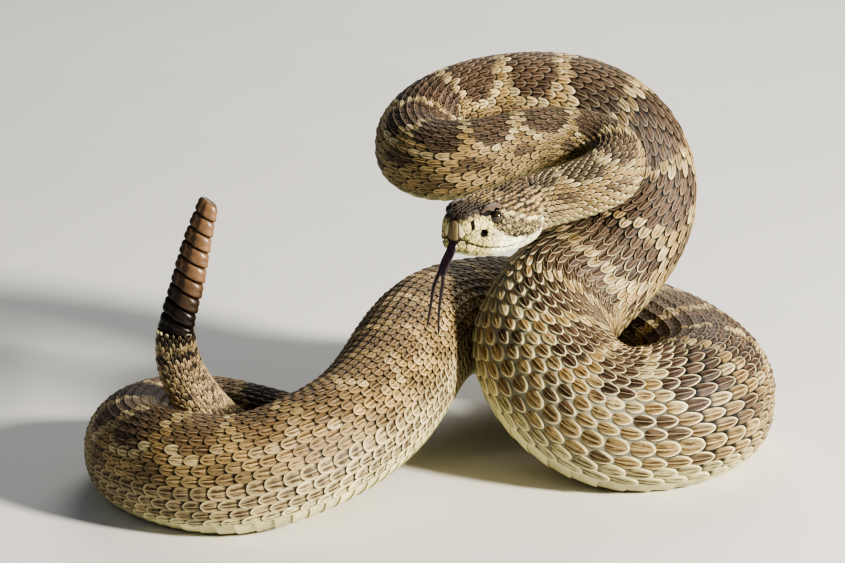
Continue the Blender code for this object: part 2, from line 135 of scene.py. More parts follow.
# The body's line: name, place of its centre, width, direction of the back.
# A height of None rests that station on the floor.
BODY = [
    ("skull", (15.1, -60.2, 100.8), 18, (0, 0, 1)),
    ("crown", (20.6, -50.7, 100.3), 18, (0, 0, 1)),
    ("nape", (26.1, -41.2, 99.7), 18, (0, 0, 1)),
    ("bend", (31.5, -35.7, 100.1), 18, (-0.1, 0, 1)),
    ("neck", (40.9, -32.3, 102.2), 18.2, (-0.1, -0.15, 1)),
    ("neck_turn_a", (49.7, -29.7, 104.6), 18.7, (-0.1, -0.3, 1)),
    ("neck_turn_b", (56.5, -25.1, 107.2), 19.2, (-0.05, -0.4, 1)),
    ("neck_turn", (58.9, -18, 110), 19.7, (0, -0.4, 1)),
    ("neck_turn_c", (55.7, -10.7, 112.8), 20, (0, -0.4, 1)),
    ("neck_turn_d", (47.5, -7.1, 114.6), 20, (0, -0.3, 1)),
    ("front_right", (37, -6.9, 115), 20.5, (0, -0.2, 1)),
    ("front", (22, -8.1, 111.6), 23, (0, -0.15, 1)),
    ("front_left", (8, -8, 108), 26, (0, -0.2, 1)),
    ("top_turn_a", (-2.3, -1.5, 107.2), 27, (0.05, -0.2, 1)),
    ("top_turn", (-6.1, 10, 109.5), 28.5, (0.1, -0.2, 1)),
    ("top_turn_b", (-0.5, 21.5, 113.8), 30.5, (0.1, -0.2, 1)),
    ("top_left", (12.5, 27, 117.8), 32.5, (0.05, -0.2, 1)),
    ("top", (28, 28.5, 119.4), 34.5, (0, -0.25, 1)),
    ("top_right", (44.5, 29, 117.8), 36.5, (0.1, -0.35, 1)),
    ("shoulder", (60.5, 29.5, 110), 38.5, (0.45, -0.7, 0.8)),
    ("column_top", (69.5, 29, 95), 40.5, (0.45, -0.9, 0.1)),
    ("column", (68.5, 26, 80.2), 42, (-0.1, -1, 0.1)),
    ("column_foot", (58.5, 21.5, 66), 43.5, (-0.3, -1, 0.25)),
    ("low_turn_a", (45.3, 15, 54.5), 45, (-0.1, -0.85, 0.6)),
    ("low_turn", (37.5, 1.5, 43), 46.5, (0.52, -0.58, 0.65)),
    ("low_turn_b", (43, -13.5, 31), 48, (0.6, -0.15, 0.8)),
    ("coil_front", (61.5, -22.2, None), 48.2, (0.15, -0.02, 1)),
    ("coil_right", (83, -15.7, None), 48.5, (0, -0.05, 1)),
    ("coil_turn", (93.5, 6, None), 48, (0, 0, 1)),
    ("coil_back", (87.5, 32, 24), 47, (0, 0, 1)),
    ("back_right", (71.5, 53.5, 26.5), 45.5, (0, 0, 1)),
    ("back", (48, 62, 30.5), 44, (0, 0, 1)),
    ("arch", (23.5, 56.5, 35), 42, (0, -0.1, 1)),
    ("arch_left", (4, 36.5, 38), 41, (-0.3, -0.2, 1)),
    ("slope", (-10.4, -0.5, 35.5), 40, (-0.4, -0.3, 1)),
    ("slope_foot", (-24.3, -38.5, 27.5), 39.5, (-0.5, -0.15, 1)),
    ("left_front", (-42, -58.5, 22.5), 39, (-0.35, 0.05, 1)),
    ("left", (-63.5, -64.5, None), 38.5, (-0.12, 0.12, 1)),
    ("left_turn_a", (-84.5, -57, None), 37, (0, 0, 1)),
    ("left_turn", (-100, -34.5, None), 33.5, (0, 0, 1)),
    ("left_turn_b", (-96, -7.5, None), 32, (0, 0, 1)),
    ("far", (-76.5, 4, None), 29, (0, 0, 1)),
    ("inner_turn_a", (-58, 2.8, None), 25, (0, 0, 1)),
    ("inner_turn_b", (-47.7, -1.7, None), 23, (0, 0, 1)),
    ("inner_turn", (-43.3, -12.3, None), 21, (0, 0, 1)),
    ("inner_turn_c", (-47.3, -22.9, None), 19.5, (0, 0, 1)),
    ("inner_turn_d", (-57.8, -27.1, 11.3), 19, (0.1, 0, 1)),
    ("vent", (-70, -27, 18.6), 18, (0.3, 0, 1)),
    ("tail_foot", (-80.3, -26.7, 30.6), 16.4, (0.8, 0, 0.6)),
    ("tail_middle", (-85.8, -26.7, 43.3), 14.6, (1, -0.2, 0.2)),
    ("rattle_root", (-86.4, -27, 53.4), 12.6, (1, -0.4, 0)),
    ("rattle_low", (-82.8, -27, 68.2), 11.6, (1, -0.4, 0)),
    ("rattle_high", (-78.9, -26.5, 83.3), 10.0, (1, -0.4, 0)),
    ("rattle_tip", (-74.4, -25.5, 98.2), 7.0, (1, -0.4, 0)),
]

# The tongue's line: inside the mouth, in the head's axes, then beyond it, and its two tines.
# A row gives name, place, width, direction of its upper face.
TONGUE_ROOT = [
    ("root", (-7.5, 0.2, -5.7), 2.6, (0, 0, 1)),
    ("floor", (-3.0, 0.2, -4.4), 2.7, (-0.1, -0.2, 1)),
]
TONGUE = [
    ("lip", (5.3, -78.1, 98.4), 2.8, (-0.3, -0.8, 0.6)),
    ("bend", (4.2, -79.8, 96.0), 3.0, (-0.3, -0.9, 0.2)),
    ("drop", (2.6, -80.8, 92.7), 3.0, (-0.3, -1, 0)),
    ("fork", (1.4, -81.2, 88.6), 2.6, (-0.3, -1, 0)),
]
TINES = [
    [("root", (1.1, -81.1, 90.4), 1.3, (-0.3, -1, 0)),
     ("bow", (-0.9, -81.5, 85.4), 1.1, (-0.3, -1, 0)),
     ("middle", (-1.9, -81.8, 79.5), 0.9, (-0.3, -1, 0)),
     ("tip", (-3.1, -82, 72.3), 0.6, (-0.3, -1, 0))],
    [("root", (2.0, -81.1, 90.4), 1.3, (-0.3, -1, 0)),
     ("bow", (1.6, -80.8, 85), 1.1, (-0.3, -1, 0)),
     ("middle", (0.8, -80.4, 78.8), 0.9, (-0.3, -1, 0)),
     ("tip", (0.5, -80, 69.4), 0.6, (-0.3, -1, 0))],
]

# Rattle, as the solids have it, each profile row being a share of a segment and a swelling
RATTLE_SEGMENTS = 9
RATTLE_FLATNESS = 0.66
RATTLE_GROOVE = 0.2
RATTLE_GROOVE_AT = -0.22         # how far above the middle the groove lies, as a share of the half-breadth
RATTLE_SLANT = 0.27
RATTLE_PROFILE = [(-0.16, 0.66), (0.0, 0.8), (0.03, 0.95), (0.08, 1.03), (0.2, 1.05), (0.34, 1.03), (0.46, 0.99),
                  (0.58, 1.02), (0.72, 1.02), (0.84, 0.95), (0.93, 0.85), (0.99, 0.72)]

# Lay of the scales
BACK_ROWS = 12                   # rows on each side of the middle one
ROW_ANGLE = 9.9                  # degrees between rows at the back, growing down the sides
ROW_GROWTH = 0.04
PITCH = np.array([(0, 1.4), (10, 1.75), (20, 2.2), (30, 2.6), (42, 3.0), (65, 3.2), (100, 3.4), (150, 3.5),
                  (220, 3.7), (262, 4.2), (300, 4.7), (400, 4.7), (480, 4.2), (700, 4.0), (820, 3.6), (890, 3.1),
                  (916, 2.7)])
# How much of the space between rows a scale fills: distance from the snout, share
FILL = np.array([(42, 0.92), (60, 0.94), (90, 1.06), (130, 1.18), (200, 1.2), (262, 1.12), (295, 0.99), (335, 0.9),
                 (375, 0.92), (420, 1.08), (470, 1.32), (660, 1.32), (720, 1.24), (900, 1.18)])
PLATE_EDGE = math.radians(127)
SCALES_BEGIN = 44.5              # distance from the snout of the first keeled scales, and of the first belly plate
PLATES_BEGIN = 43.0
ROWS_STOP = 2.0                  # space left before the rattle, and the least there for a single scale
SCALES_STOP = 1.5

# Baking map: width of a scale's patch, length of the map beyond the tail, and share of its height that is used
PATCH = 0.003
MAP_MARGIN = 20
MAP_WIDTH = 0.98

# Middle of the top of the head: space between rows of scales, by distance behind the snout
CROWN_ROWS = np.array([(0, 1.25), (6, 1.4), (12, 1.65), (20, 1.95), (30, 2.1), (38, 1.8), (42, 1.63), (50, 1.63)])

# Face plates on each side: distance behind the snout, to the side, height, length, width, the way the length lies
# in the head's axes, and a tint, or None for the marking
DOWN = (0, 0, -1)
REAR = (-1, 0, 0)
FACE_PLATES = [
    (0.2, 2.6, 0.3, 8.6, 1.3, (-0.06, 0.31, -0.95), "strip"),
    (0.5, 2.8, -4.7, 2.2, 2.2, DOWN, None),
    (0.8, 4.3, 1.3, 3.9, 2.3, DOWN, None),
    (4.5, 6.3, 2.1, 3.5, 1.7, DOWN, None),
    (7.6, 7.2, 2.2, 4.4, 3.9, REAR, None),
    (9.8, 7.1, 4.2, 3.0, 1.5, (-1, 0, 0.15), "pink"),
    (9.2, 6.9, 5.5, 3.8, 1.3, (-1, 0, 0.1), "brow"),
    (10.2, 7.8, 1.2, 2.6, 2.2, REAR, None),
    (7.3, 7.3, -3.0, 2.7, 1.4, REAR, None),
    (4.9, 6.7, -0.7, 1.9, 1.6, REAR, None),
    (5.0, 6.7, -2.4, 1.9, 1.4, REAR, None),
    (9.6, 7.9, -1.1, 2.0, 1.9, REAR, None),
    (9.7, 7.9, -2.9, 1.9, 1.4, REAR, None),
    (2.8, 6.0, -0.8, 1.9, 1.7, REAR, None),
    (1.0, 4.8, -1.5, 1.6, 1.6, REAR, None),
    (2.4, 4.9, 4.4, 2.7, 1.5, REAR, "pink"),
    (5.2, 5.7, 5.0, 2.9, 1.5, REAR, "pink"),
    (0.9, 1.2, 4.6, 1.9, 2.1, REAR, "snout"),
    (1.3, 3.2, 4.9, 2.0, 1.7, REAR, "snout"),
    (3.4, 4.3, 5.9, 2.2, 1.7, REAR, "snout"),
    (6.0, 4.9, 6.3, 2.5, 1.7, REAR, "snout"),
]
ROSTRAL = (-0.1, 0.1, 0.2, 5.8, 3.1)
MENTAL = (0.2, 0.0, -4.8, 2.4, 3.0)
CHIN = (6.5, 1.7, -9.2, 7.5, 3.0)
BROW_PLATE = (12.6, 6.8, 6.6, 10.6, 3.8)

UPPER_LIPS = 15
LOWER_LIPS = 15
LIP_HEIGHT = 2.4
EYE_RING = 3.05                  # from the middle of the eye to the small scales round it
SEAM = 0.07                      # clear space between two plates of the face
LIP_SEAM = 0.22                  # clear space between upper and lower lips

# Seen by the camera, in millimetres: its place, what it looks at, and its lens
CAMERA_AT = (-4.5, -877.6, 315.1)
CAMERA_TO = (-4.5, -12.5, 67.0)
CAMERA_LENS = 114.1

# Lamps, in metres: name, place, size, power and colour, and then the light of the room
LAMPS = (("key", (1.2, -0.75, 0.66), 0.22, 55, (1.0, 0.95, 0.86)),
         ("fill", (-1.1, -0.8, 0.75), 1.2, 0.8, (0.82, 0.92, 1.0)),
         ("rim", (0.2, 1.1, 0.9), 0.9, 7, (1.0, 0.98, 0.95)))
LAMPS_AIM = (0, 0, 0.06)
WORLD_TINT = (0.78, 0.88, 1.0, 1)
WORLD_STRENGTH = 0.16


def rows_of(table, at):
    """Values of a two-column table at given places."""
    return np.interp(at, table[:, 0], table[:, 1])


def unit(vectors):
    """Vectors made one long."""
    return vectors / np.linalg.norm(vectors, axis=-1, keepdims=True)


def square_to(vector, other):
    """The part of a vector that is square to another, made one long."""
    return unit(vector - np.dot(vector, other) * other)


def ease(value):
    """A smooth step from 0 to 1."""
    value = np.clip(value, 0, 1)
    return value * value * (3 - 2 * value)


def bell(value, width):
    """A smooth hump that is one at nought."""
    return np.exp(-(value / width) ** 2)


def ripple(a, b, seed):
    """A wavering value from -1 to 1 that is the same each time, for uneven edges."""
    wave = np.sin(1.7 * a + 2.3 * b + seed) + np.sin(3.1 * a - 1.9 * b + 2.1 * seed) + np.sin(-2.2 * a + 4.3 * b)
    return wave / 3


def through(values, knots, at):
    """A natural cubic spline through values given at knots, read at other places."""
    values = np.asarray(values, float).reshape(len(knots), -1)
    gaps = np.diff(knots)
    slopes = np.diff(values, axis=0) / gaps[:, None]
    matrix = np.eye(len(knots))
    right = np.zeros_like(values)
    for i in range(1, len(knots) - 1):
        matrix[i, i - 1:i + 2] = gaps[i - 1], 2 * (gaps[i - 1] + gaps[i]), gaps[i]
        right[i] = 6 * (slopes[i] - slopes[i - 1])
    bend = np.linalg.solve(matrix, right)
    at = np.atleast_1d(at)
    span = np.clip(np.searchsorted(knots, at) - 1, 0, len(gaps) - 1)
    gap = gaps[span][:, None]
    after = at[:, None] - knots[span][:, None]
    before = gap - after
    curved = (bend[span] * before ** 3 + bend[span + 1] * after ** 3) / (6 * gap)
    low = (values[span] / gap - bend[span] * gap / 6) * before
    high = (values[span + 1] / gap - bend[span + 1] * gap / 6) * after
    return curved + low + high


def opened(piece):
    """A piece's mesh, open for editing."""
    mesh = bmesh.new()
    mesh.from_mesh(piece.data)
    return mesh


def closed(mesh, piece):
    """Turn the faces of an edited mesh outward and give it back to its piece."""
    bmesh.ops.recalc_face_normals(mesh, faces=mesh.faces)
    mesh.to_mesh(piece.data)
    mesh.free()


class Rail:
    """A smooth line through named stations, with a half-width and an upward side all along it."""

    SAMPLES = 8000
    STEP = 0.4

    def __init__(self, stations):
        names, places, widths, ups = zip(*stations)
        places = np.array(places, float)
        steps = np.linalg.norm(np.diff(places, axis=0), axis=1)
        knots = np.concatenate([[0.0], np.cumsum(steps)])
        fine = np.linspace(0.0, knots[-1], self.SAMPLES)
        self.line = through(places, knots, fine)
        self.half = through(np.array(widths, float) / 2, knots, fine)[:, 0]
        self.up = through(unit(np.array(ups, float)), knots, fine)
        runs = np.linalg.norm(np.diff(self.line, axis=0), axis=1)
        self.run = np.concatenate([[0.0], np.cumsum(runs)])
        self.station = dict(zip(names, np.interp(knots, fine, self.run).tolist()))
        self.length = float(self.run[-1])

    def points(self, s, values=None):
        values = self.line if values is None else values
        return np.stack([np.interp(s, self.run, values[:, axis]) for axis in range(3)], axis=-1)

    def half_width(self, s):
        return np.interp(s, self.run, self.half)

    def frames(self, s):
        """Centre, direction ahead, upward side and side to the left at distances along the line."""
        s = np.asarray(s, float)
        ahead = unit(self.points(s + self.STEP) - self.points(s - self.STEP))
        up = self.points(s, self.up)
        up = unit(up - np.sum(up * ahead, axis=-1, keepdims=True) * ahead)
        return self.points(s), ahead, up, np.cross(ahead, up)


def outline(angle):
    """Points across and above a section of the body of half-width one, at angles from the back."""
    across, above = np.sin(angle), np.cos(angle)
    power = 2 / BELLY_POWER
    squared = np.sign(across) * np.abs(across) ** power
    deep = -BELLY_DEPTH * np.abs(above) ** power
    return np.where(above >= 0, across, squared), np.where(above >= 0, BACK_HEIGHT * above, deep)


def to_world(points):
    """From the head's own axes to the frame's."""
    return SNOUT + points @ HEAD_TURN.T


def to_head(points):
    """From the frame's axes to the head's own."""
    return (points - SNOUT) @ HEAD_TURN


def head_place(behind, side, height):
    """The frame's place at distances behind the snout, to the snake's left and up."""
    return to_world(np.array([-behind, side, height]))


def head_way(way):
    """The frame's direction for one in the head's own axes."""
    return to_world(np.array(way)) - SNOUT


def spread(points):
    """Distance behind the snout, distance to either side and height, for points in the head's own axes."""
    return -points[..., 0], np.abs(points[..., 1]), points[..., 2]


def mouth_height(behind):
    """Height of the mouth line at distances behind the snout."""
    return through(MOUTH_LINE[:, 1], MOUTH_LINE[:, 0], np.ravel(behind))[:, 0].reshape(np.shape(behind))


def lip_line(behind):
    """Height of the mouth line, held level past its ends."""
    return mouth_height(np.clip(behind, MOUTH_LINE[0, 0], MOUTH_CORNER))


class Surface:
    """The snake's outside. A place on it is a distance from the snout and an angle from the back."""

    ROUND = np.linspace(0, math.pi, 361)
    NAPE = 42.0                      # distance from the snout at the station of that name
    ARC_STEP = 0.5
    STEP = 0.25
    TURN = 0.02

    def __init__(self):
        resting = []
        for name, (x, y, z), width, up in BODY:
            z = BELLY_DEPTH * width / 2 - SINK if z is None else z
            resting.append((name, (x, y, z), width, up))
        self.rail = Rail(resting)
        self.offset = self.NAPE - self.rail.station["nape"]
        self.end = self.rail.station["rattle_root"] + self.offset - GAP / 2
        self.arc_knots = np.arange(0, HEAD_SECTIONS[-1, 0] + self.ARC_STEP, self.ARC_STEP)
        self.arcs = []
        for behind in self.arc_knots:
            line = self.head(np.full_like(self.ROUND, behind), self.ROUND)
            steps = np.linalg.norm(np.diff(line, axis=0), axis=1)
            self.arcs.append(np.concatenate([[0.0], np.cumsum(steps)]))
        self.arcs = np.array(self.arcs)

    def head(self, behind, angle):
        """Points of the plain head, in its own axes."""
        shape = np.shape(behind)
        knots = HEAD_SECTIONS[:, 0]
        values = through(HEAD_SECTIONS[:, 1:], knots, np.clip(np.ravel(behind), 0, knots[-1]))
        half, top, level, bottom, above_power, below_power = [column.reshape(shape) for column in values.T]
        across, above = np.sin(angle), np.cos(angle)
        power = 2 / np.where(above >= 0, above_power, below_power)
        height = np.where(above >= 0, top - level, level - bottom) * np.sign(above) * np.abs(above) ** power
        side = half * np.sign(across) * np.abs(across) ** power
        return np.stack([-behind + 0 * side, side, level + height], axis=-1)

    def body(self, t, angle):
        """Points of the plain body."""
        centre, _, up, side = self.rail.frames(t - self.offset)
        half = self.rail.half_width(t - self.offset)
        across, above = outline(angle)
        return centre + (half * across)[..., None] * side + (half * above)[..., None] * up

    def plain(self, t, angle):
        """Points of the surface with no lift."""
        t, angle = np.broadcast_arrays(np.asarray(t, float), np.asarray(angle, float))
        whole = ease((t - NECK_BEGINS) / (NECK_WHOLE - NECK_BEGINS))[..., None]
        points = np.zeros(t.shape + (3,))
        neck = t > NECK_BEGINS
        head = t < NECK_WHOLE
        points[neck] += whole[neck] * self.body(t[neck], angle[neck])
        points[head] += (1 - whole)[head] * to_world(self.head(t[head], angle[head]))
        points[..., 2] = np.maximum(points[..., 2], 0)
        return points

    def frame(self, t, angle):
        """Points, the way to the tail, the way round, and the way out, at places on the surface."""
        points = self.plain(t, angle)
        along = self.plain(t + self.STEP, angle) - self.plain(t - self.STEP, angle)
        around = self.plain(t, angle + self.TURN) - self.plain(t, angle - self.TURN)
        out = unit(np.cross(around, along))
        return points, along / (2 * self.STEP), around / (2 * self.TURN), out

    def place(self, t, angle, lift):
        """Points lifted off the surface, and none of them below the floor."""
        points, _, _, out = self.frame(t, angle)
        points = points + lift[..., None] * out
        points[..., 2] = np.maximum(points[..., 2], 0)
        return points

    def angle_at(self, t, arc):
        """The angle from the back at a distance round the head from the middle of its top."""
        row = np.clip(np.asarray(t, float) / self.ARC_STEP, 0, len(self.arc_knots) - 1.001)
        low = row.astype(int)
        share = row - low
        found = []
        for index, part, distance in zip(np.ravel(low), np.ravel(share), np.ravel(np.abs(arc))):
            table = (1 - part) * self.arcs[index] + part * self.arcs[index + 1]
            found.append(np.interp(distance, table, self.ROUND))
        return np.sign(arc) * np.array(found).reshape(np.shape(arc))


SNAKE = Surface()


def colour(text):
    """A linear colour from a hexadecimal one."""
    channels = [int(text[i:i + 2], 16) / 255 for i in (0, 2, 4)]
    return [c / 12.92 if c <= 0.04045 else ((c + 0.055) / 1.055) ** 2.4 for c in channels]


def blended(low, high, share):
    """Mix arrays of colours by a share from 0 to 1."""
    share = np.clip(share, 0, 1)[..., None]
    return low * (1 - share) + high * share


MARK_SPACING = ([40, 120, 200, 300, 700, 850], [15, 16.5, 17.5, 21, 20, 15])
MARK_AT = np.arange(30.0, 940.0, 1.0)
MARK_COUNT = np.cumsum(1 / np.interp(MARK_AT, *MARK_SPACING))

# By distance from the snout: how far down the sides a blotch reaches, in radians, its half-length as a share of
# the spacing, how strong the pattern is, how pale the band low on the sides is, where the belly's colour
# begins, in radians, and how much painted shade darkens the belly
BLOTCH_REACH = ([40, 90, 150, 262, 330, 600, 850], [0.7, 0.85, 0.92, 0.95, 1.0, 0.95, 0.9])
BLOTCH_HALF = ([40, 90, 850], [0.42, 0.38, 0.36])
CONTRAST = ([40, 440, 500, 680, 760, 916], [1, 1, 0.45, 0.5, 0.9, 0.9])
SIDE_BAND = ([440, 520, 660, 740], [0, 0.9, 0.9, 0.2])
BELLY_EDGE = ([280, 320, 400, 440], [2.02, 1.86, 1.86, 2.02])
BELLY_PAINTED_SHADE = ([240, 320, 370], [0.5, 0.8, 1.0])

# By distance behind the snout: height of the snout's edge, of the upper edge of the dark band behind the eye and of
# its lower edge, and of the uppermost fitted scale of the cheek
CANTHUS = ([0, 1.4, 6.4, 8, 10, 12.5], [3.6, 4.4, 4.4, 4.0, 4.0, 3.2])
BAND_TOP = ([14, 16, 21, 25, 32, 38], [4.9, 4.5, 3.1, 1.2, 0.7, 0.6])
BAND_FOOT = ([10, 12.4, 17.5, 24.7, 31.6], [0.6, 0.0, -3.2, -4.2, -2.7])
CHEEK_TOP = ([12, 14, 16, 21, 25, 32, 38], [3.4, 4.6, 4.2, 2.8, 0.9, 0.4, 0.3])

# Painted shade, darkening the nostril, the pit and the mouth line.
PAINTED_HOLLOW_SHADE = np.array([0.014, 0.008, 0.005])     # colour inside the nostril, the pit and the mouth


def body_marks(t, angle, tints):
    """The colour of the body at a distance from the snout and an angle from the back."""
    angle = (angle + math.pi) % (2 * math.pi) - math.pi
    count = np.interp(t, MARK_AT, MARK_COUNT)
    number = np.floor(count)
    along = np.abs(count - number - 0.5)
    away = np.abs(angle)
    uneven = ripple(number * 1.3 + t / 5, angle * 5.1, 0.7)
    reach = np.interp(t, *BLOTCH_REACH)
    blotch = (along / np.interp(t, *BLOTCH_HALF)) ** 3.2 + (away / reach) ** 3.2 + 0.4 * uneven
    contrast = np.interp(t, *CONTRAST)
    result = np.empty(np.shape(t) + (3,))
    result[:] = tints["ground"]
    result = blended(result, tints["flank"], ease((away - 0.9) / 0.7))
    result = blended(result, tints["border"], 0.8 * contrast * bell(blotch - 1.65, 0.34) * (away < 1.9))
    result = blended(result, tints["blotch"], contrast * ease((1.35 - blotch) / 0.3))
    result = blended(result, tints["blotch_middle"], 0.55 * contrast * ease((0.6 - blotch) / 0.5))
    half = (count + 0.5) - np.floor(count + 0.5) - 0.5
    spot = (half / 0.24) ** 2 + ((away - 1.36) / 0.2) ** 2 + 0.5 * uneven
    result = blended(result, tints["blotch"], 0.8 * contrast * ease((1.2 - spot) / 0.4))
    low = ((count - number - 0.5) / 0.2) ** 2 + ((away - 1.78) / 0.17) ** 2 + 0.5 * uneven
    result = blended(result, tints["blotch"], 0.65 * contrast * ease((1.1 - low) / 0.5))
    side = ease((away - 1.52) / 0.15) * np.interp(t, *SIDE_BAND)
    result = blended(result, tints["border"], side)
    share = ease((away - np.interp(t, *BELLY_EDGE)) / 0.2)
    # Painted shade darkens the belly on the upper loops and the low turn.
    shade = np.interp(t, *BELLY_PAINTED_SHADE)[..., None]
    result = result * (1 - share[..., None]) + tints["belly"] * shade * share[..., None]
    # Painted shade darkens the top of the column and the low turn's flanks, where they turn from the light; the low
    # coil's right side is darker with its broader blotches, and the colour is lighter near 198 mm from the snout.
    turned = 1 - 0.5 * bell(t - 248, 15) * bell(angle - 0.4, 1.0) + 0.4 * bell(t - 198, 20)
    turned = turned - 0.2 * bell(t - 402, 26) - 0.28 * bell(t - 312, 24) * ease((away - 1.0) / 0.6)
    result = result * turned[..., None]
    from_end = SNAKE.end - t
    ring = np.maximum(bell(from_end - 1.4, 1.9), 0.95 * bell(from_end - 7.2, 1.3))
    ring = np.maximum(ring, 0.6 * bell(from_end - 12.0, 1.2)) + 0.3 * ripple(t * 0.7, angle * 4, 2.2)
    specks = ease((ripple(t * 1.9, angle * 9.0, 3.3) - 0.12) / 0.3)
    tail = blended(np.broadcast_to(tints["tail_pale"], result.shape), tints["tail_dark"],
                   np.maximum(ease((ring - 0.42) / 0.2), 0.8 * specks))
    return blended(result, tail, ease((t - 858) / 16) * ease((3.4 - away) / 0.5))


def head_marks(points, tints):
    """The colour of the head at points in its own axes."""
    behind, side, height = spread(points)
    uneven = ripple(behind * 0.9, side * 0.8 + height * 0.7, 1.9)
    fine = ripple(behind * 2.3, side * 1.9 + height * 2.1, 0.4)
    result = np.empty(np.shape(behind) + (3,))
    result[:] = tints["crown"]
    result = blended(result, tints["blotch"], 0.95 * ease((ripple(behind * 0.6, side * 2.6, 4.1) - 0.1) / 0.25))
    result = blended(result, tints["crown_pale"], 0.85 * ease((fine - 0.1) / 0.35))
    snout = ease((20 - behind + 2 * uneven) / 9)
    result = blended(result, tints["snout"], snout)
    nape = ease((5.2 - side + 1.2 * uneven) / 1.6) * ease((behind - 27) / 5)
    result = blended(result, tints["blotch"], 0.8 * nape)
    face = ease((np.interp(behind, *CANTHUS) - height + 0.15 * uneven) / 0.4) * ease((12.4 - behind) / 1.0)
    yellow = blended(np.broadcast_to(tints["lip"], result.shape), tints["lip_shade"],
                     ease((ripple(behind * 1.7 + 2, side + height * 2.1, 2.7) + 0.1) / 0.4))
    result = blended(result, yellow, face)
    upper = np.interp(behind, *BAND_TOP)
    lower = np.interp(behind, *BAND_FOOT)
    cheek = ease((upper - height) / 0.6) * ease((behind - 11.6) / 0.8)
    grains = ripple(behind * 3.9, height * 3.6 + side, 2.2)
    mottle = blended(np.broadcast_to(tints["cheek"], result.shape), tints["crown_pale"],
                     0.75 * ease((grains - 0.12) / 0.3))
    result = blended(result, mottle, cheek)
    pale = ease((lower - height + 0.5 * uneven) / 1.0) * ease((behind - 8.0) / 1.0)
    pale = np.maximum(pale, ease((behind - 31 + 1.5 * uneven) / 3) * ease((upper - height) / 1.0))
    white = blended(yellow, tints["throat"], ease((behind - 9) / 7))
    result = blended(result, white, pale)
    specks = ripple(behind * 1.9 + 1, height * 2.6 - side, 0.9)
    result = blended(result, tints["cheek"], 0.6 * ease((specks - 0.3) / 0.15) * bell(behind - 9, 6)
                     * bell(height + 2.6, 2.6))
    line = bell(height - upper - 0.1 * uneven, 0.42) * ease((behind - 13.4) / 0.8) * (height > -6)
    result = blended(result, tints["strip"], 0.6 * line)
    throat = ease((lip_line(behind) - 2.3 - height) / 1.0)
    result = blended(result, tints["throat"], throat)
    spots = ripple(behind * 1.7 + 3, height * 2.1 + side, 5.3)
    result = blended(result, tints["blotch"], 0.75 * ease((spots - 0.5) / 0.12) * ease((behind - 31) / 3) * pale)
    nostril, pit = openings(behind, height)
    # Painted shade darkens the rims of the nostril and the pit.
    edge = np.maximum(ease((1.5 + 0.2 * fine - nostril) / 0.4), ease((1.45 + 0.3 * fine - pit) / 0.4))
    result = blended(result, tints["tail_dark"], 0.95 * edge * (side > FACE_SIDE) * (behind < 12))
    front = bell(side / 2.3, 1.0) * ease((0.7 - behind) / 0.3) * ease((height + 3.2) / 0.4)
    return blended(result, tints["rostral"], front)


def past_head(t):
    """Share of the body's looks, which begins behind the head and is whole on the neck."""
    return ease((t - 36) / 9)


def marks(t, angle, points, tints):
    """The colour of the skin and of what lies on it, on the head and the body alike."""
    body = body_marks(t, angle, tints)
    head = head_marks(to_head(points), tints)
    return blended(head, body, past_head(t))


def seams(t, colours, tints):
    """The colour of the skin between the scales: grey where the body's bend draws the scales apart, and darkened as
    painted shade where it lies under close scales and plates.
    """
    apart = ease((1.02 - rows_of(FILL, t)) / 0.1) * ease((t - 200) / 10)
    body = blended(np.broadcast_to(tints["seam"], colours.shape), tints["bare_skin"], apart)
    return blended(shaded(colours, 0.1, 0.5), body, past_head(t))


def shaded(colours, dark, pale):
    """Colours made darker, by one share where they are dark and by another where they are pale."""
    share = np.interp(colours[..., :3].mean(axis=-1), [0.22, 0.55], [dark, pale])
    return colours[..., :3] * share[..., None]


def tints_of(settings):
    """The snake's colours by name."""
    values = {name: getattr(settings, name) for name in SNAKE_PG_looks.__annotations__}
    return {name: np.array(value[:]) for name, value in values.items() if hasattr(value, "__len__")}


def opaque(tint, share=1.0):
    """A colour for a socket, made darker or paler by a share."""
    return tuple(share * channel for channel in tint) + (1,)


# Making and finishing pieces

def deselect():
    """Leave no object selected."""
    for item in bpy.context.selected_objects:
        item.select_set(False)


def activate(item):
    """Make one object the selected and active one."""
    deselect()
    item.select_set(True)
    bpy.context.view_layer.objects.active = item


def finish_piece(item, material, smooth=None):
    """Give a finished piece its material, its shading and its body."""
    item.data.materials.clear()
    item.data.materials.append(material)
    activate(item)
    if smooth is None:
        bpy.ops.object.shade_smooth()
    else:
        bpy.ops.object.shade_smooth_by_angle(angle=math.radians(smooth))
    deselect()
    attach(item, "root")


def coordinates(item):
    """The places of a piece's vertices."""
    flat = np.empty(len(item.data.vertices) * 3)
    item.data.vertices.foreach_get("co", flat)
    return flat.reshape(-1, 3)


def store(item, name, kind, values):
    """Keep a value for each vertex of a piece, for its material to read."""
    layer = item.data.attributes.new(name, kind, "POINT")
    field = "color" if kind == "FLOAT_COLOR" else "vector"
    layer.data.foreach_set(field, np.ascontiguousarray(values, dtype=np.float32).ravel())


def store_marks(item, colours, lay):
    """Keep colours, whose fourth value, where given, is the strength of the pale rim, and the lay of a scale."""
    rgba = np.ones((len(colours), 4))
    rgba[:, :colours.shape[-1]] = colours
    store(item, "marks", "FLOAT_COLOR", rgba)
    store(item, "lay", "FLOAT_VECTOR", lay)


def store_map(item, places):
    """A baking map from one place for each vertex."""
    layer = item.data.uv_layers.new(name="OFBake")
    corners = np.empty(len(item.data.loops), dtype=np.int32)
    item.data.loops.foreach_get("vertex_index", corners)
    layer.data.foreach_set("uv", np.ascontiguousarray(places[corners], dtype=np.float32).ravel())


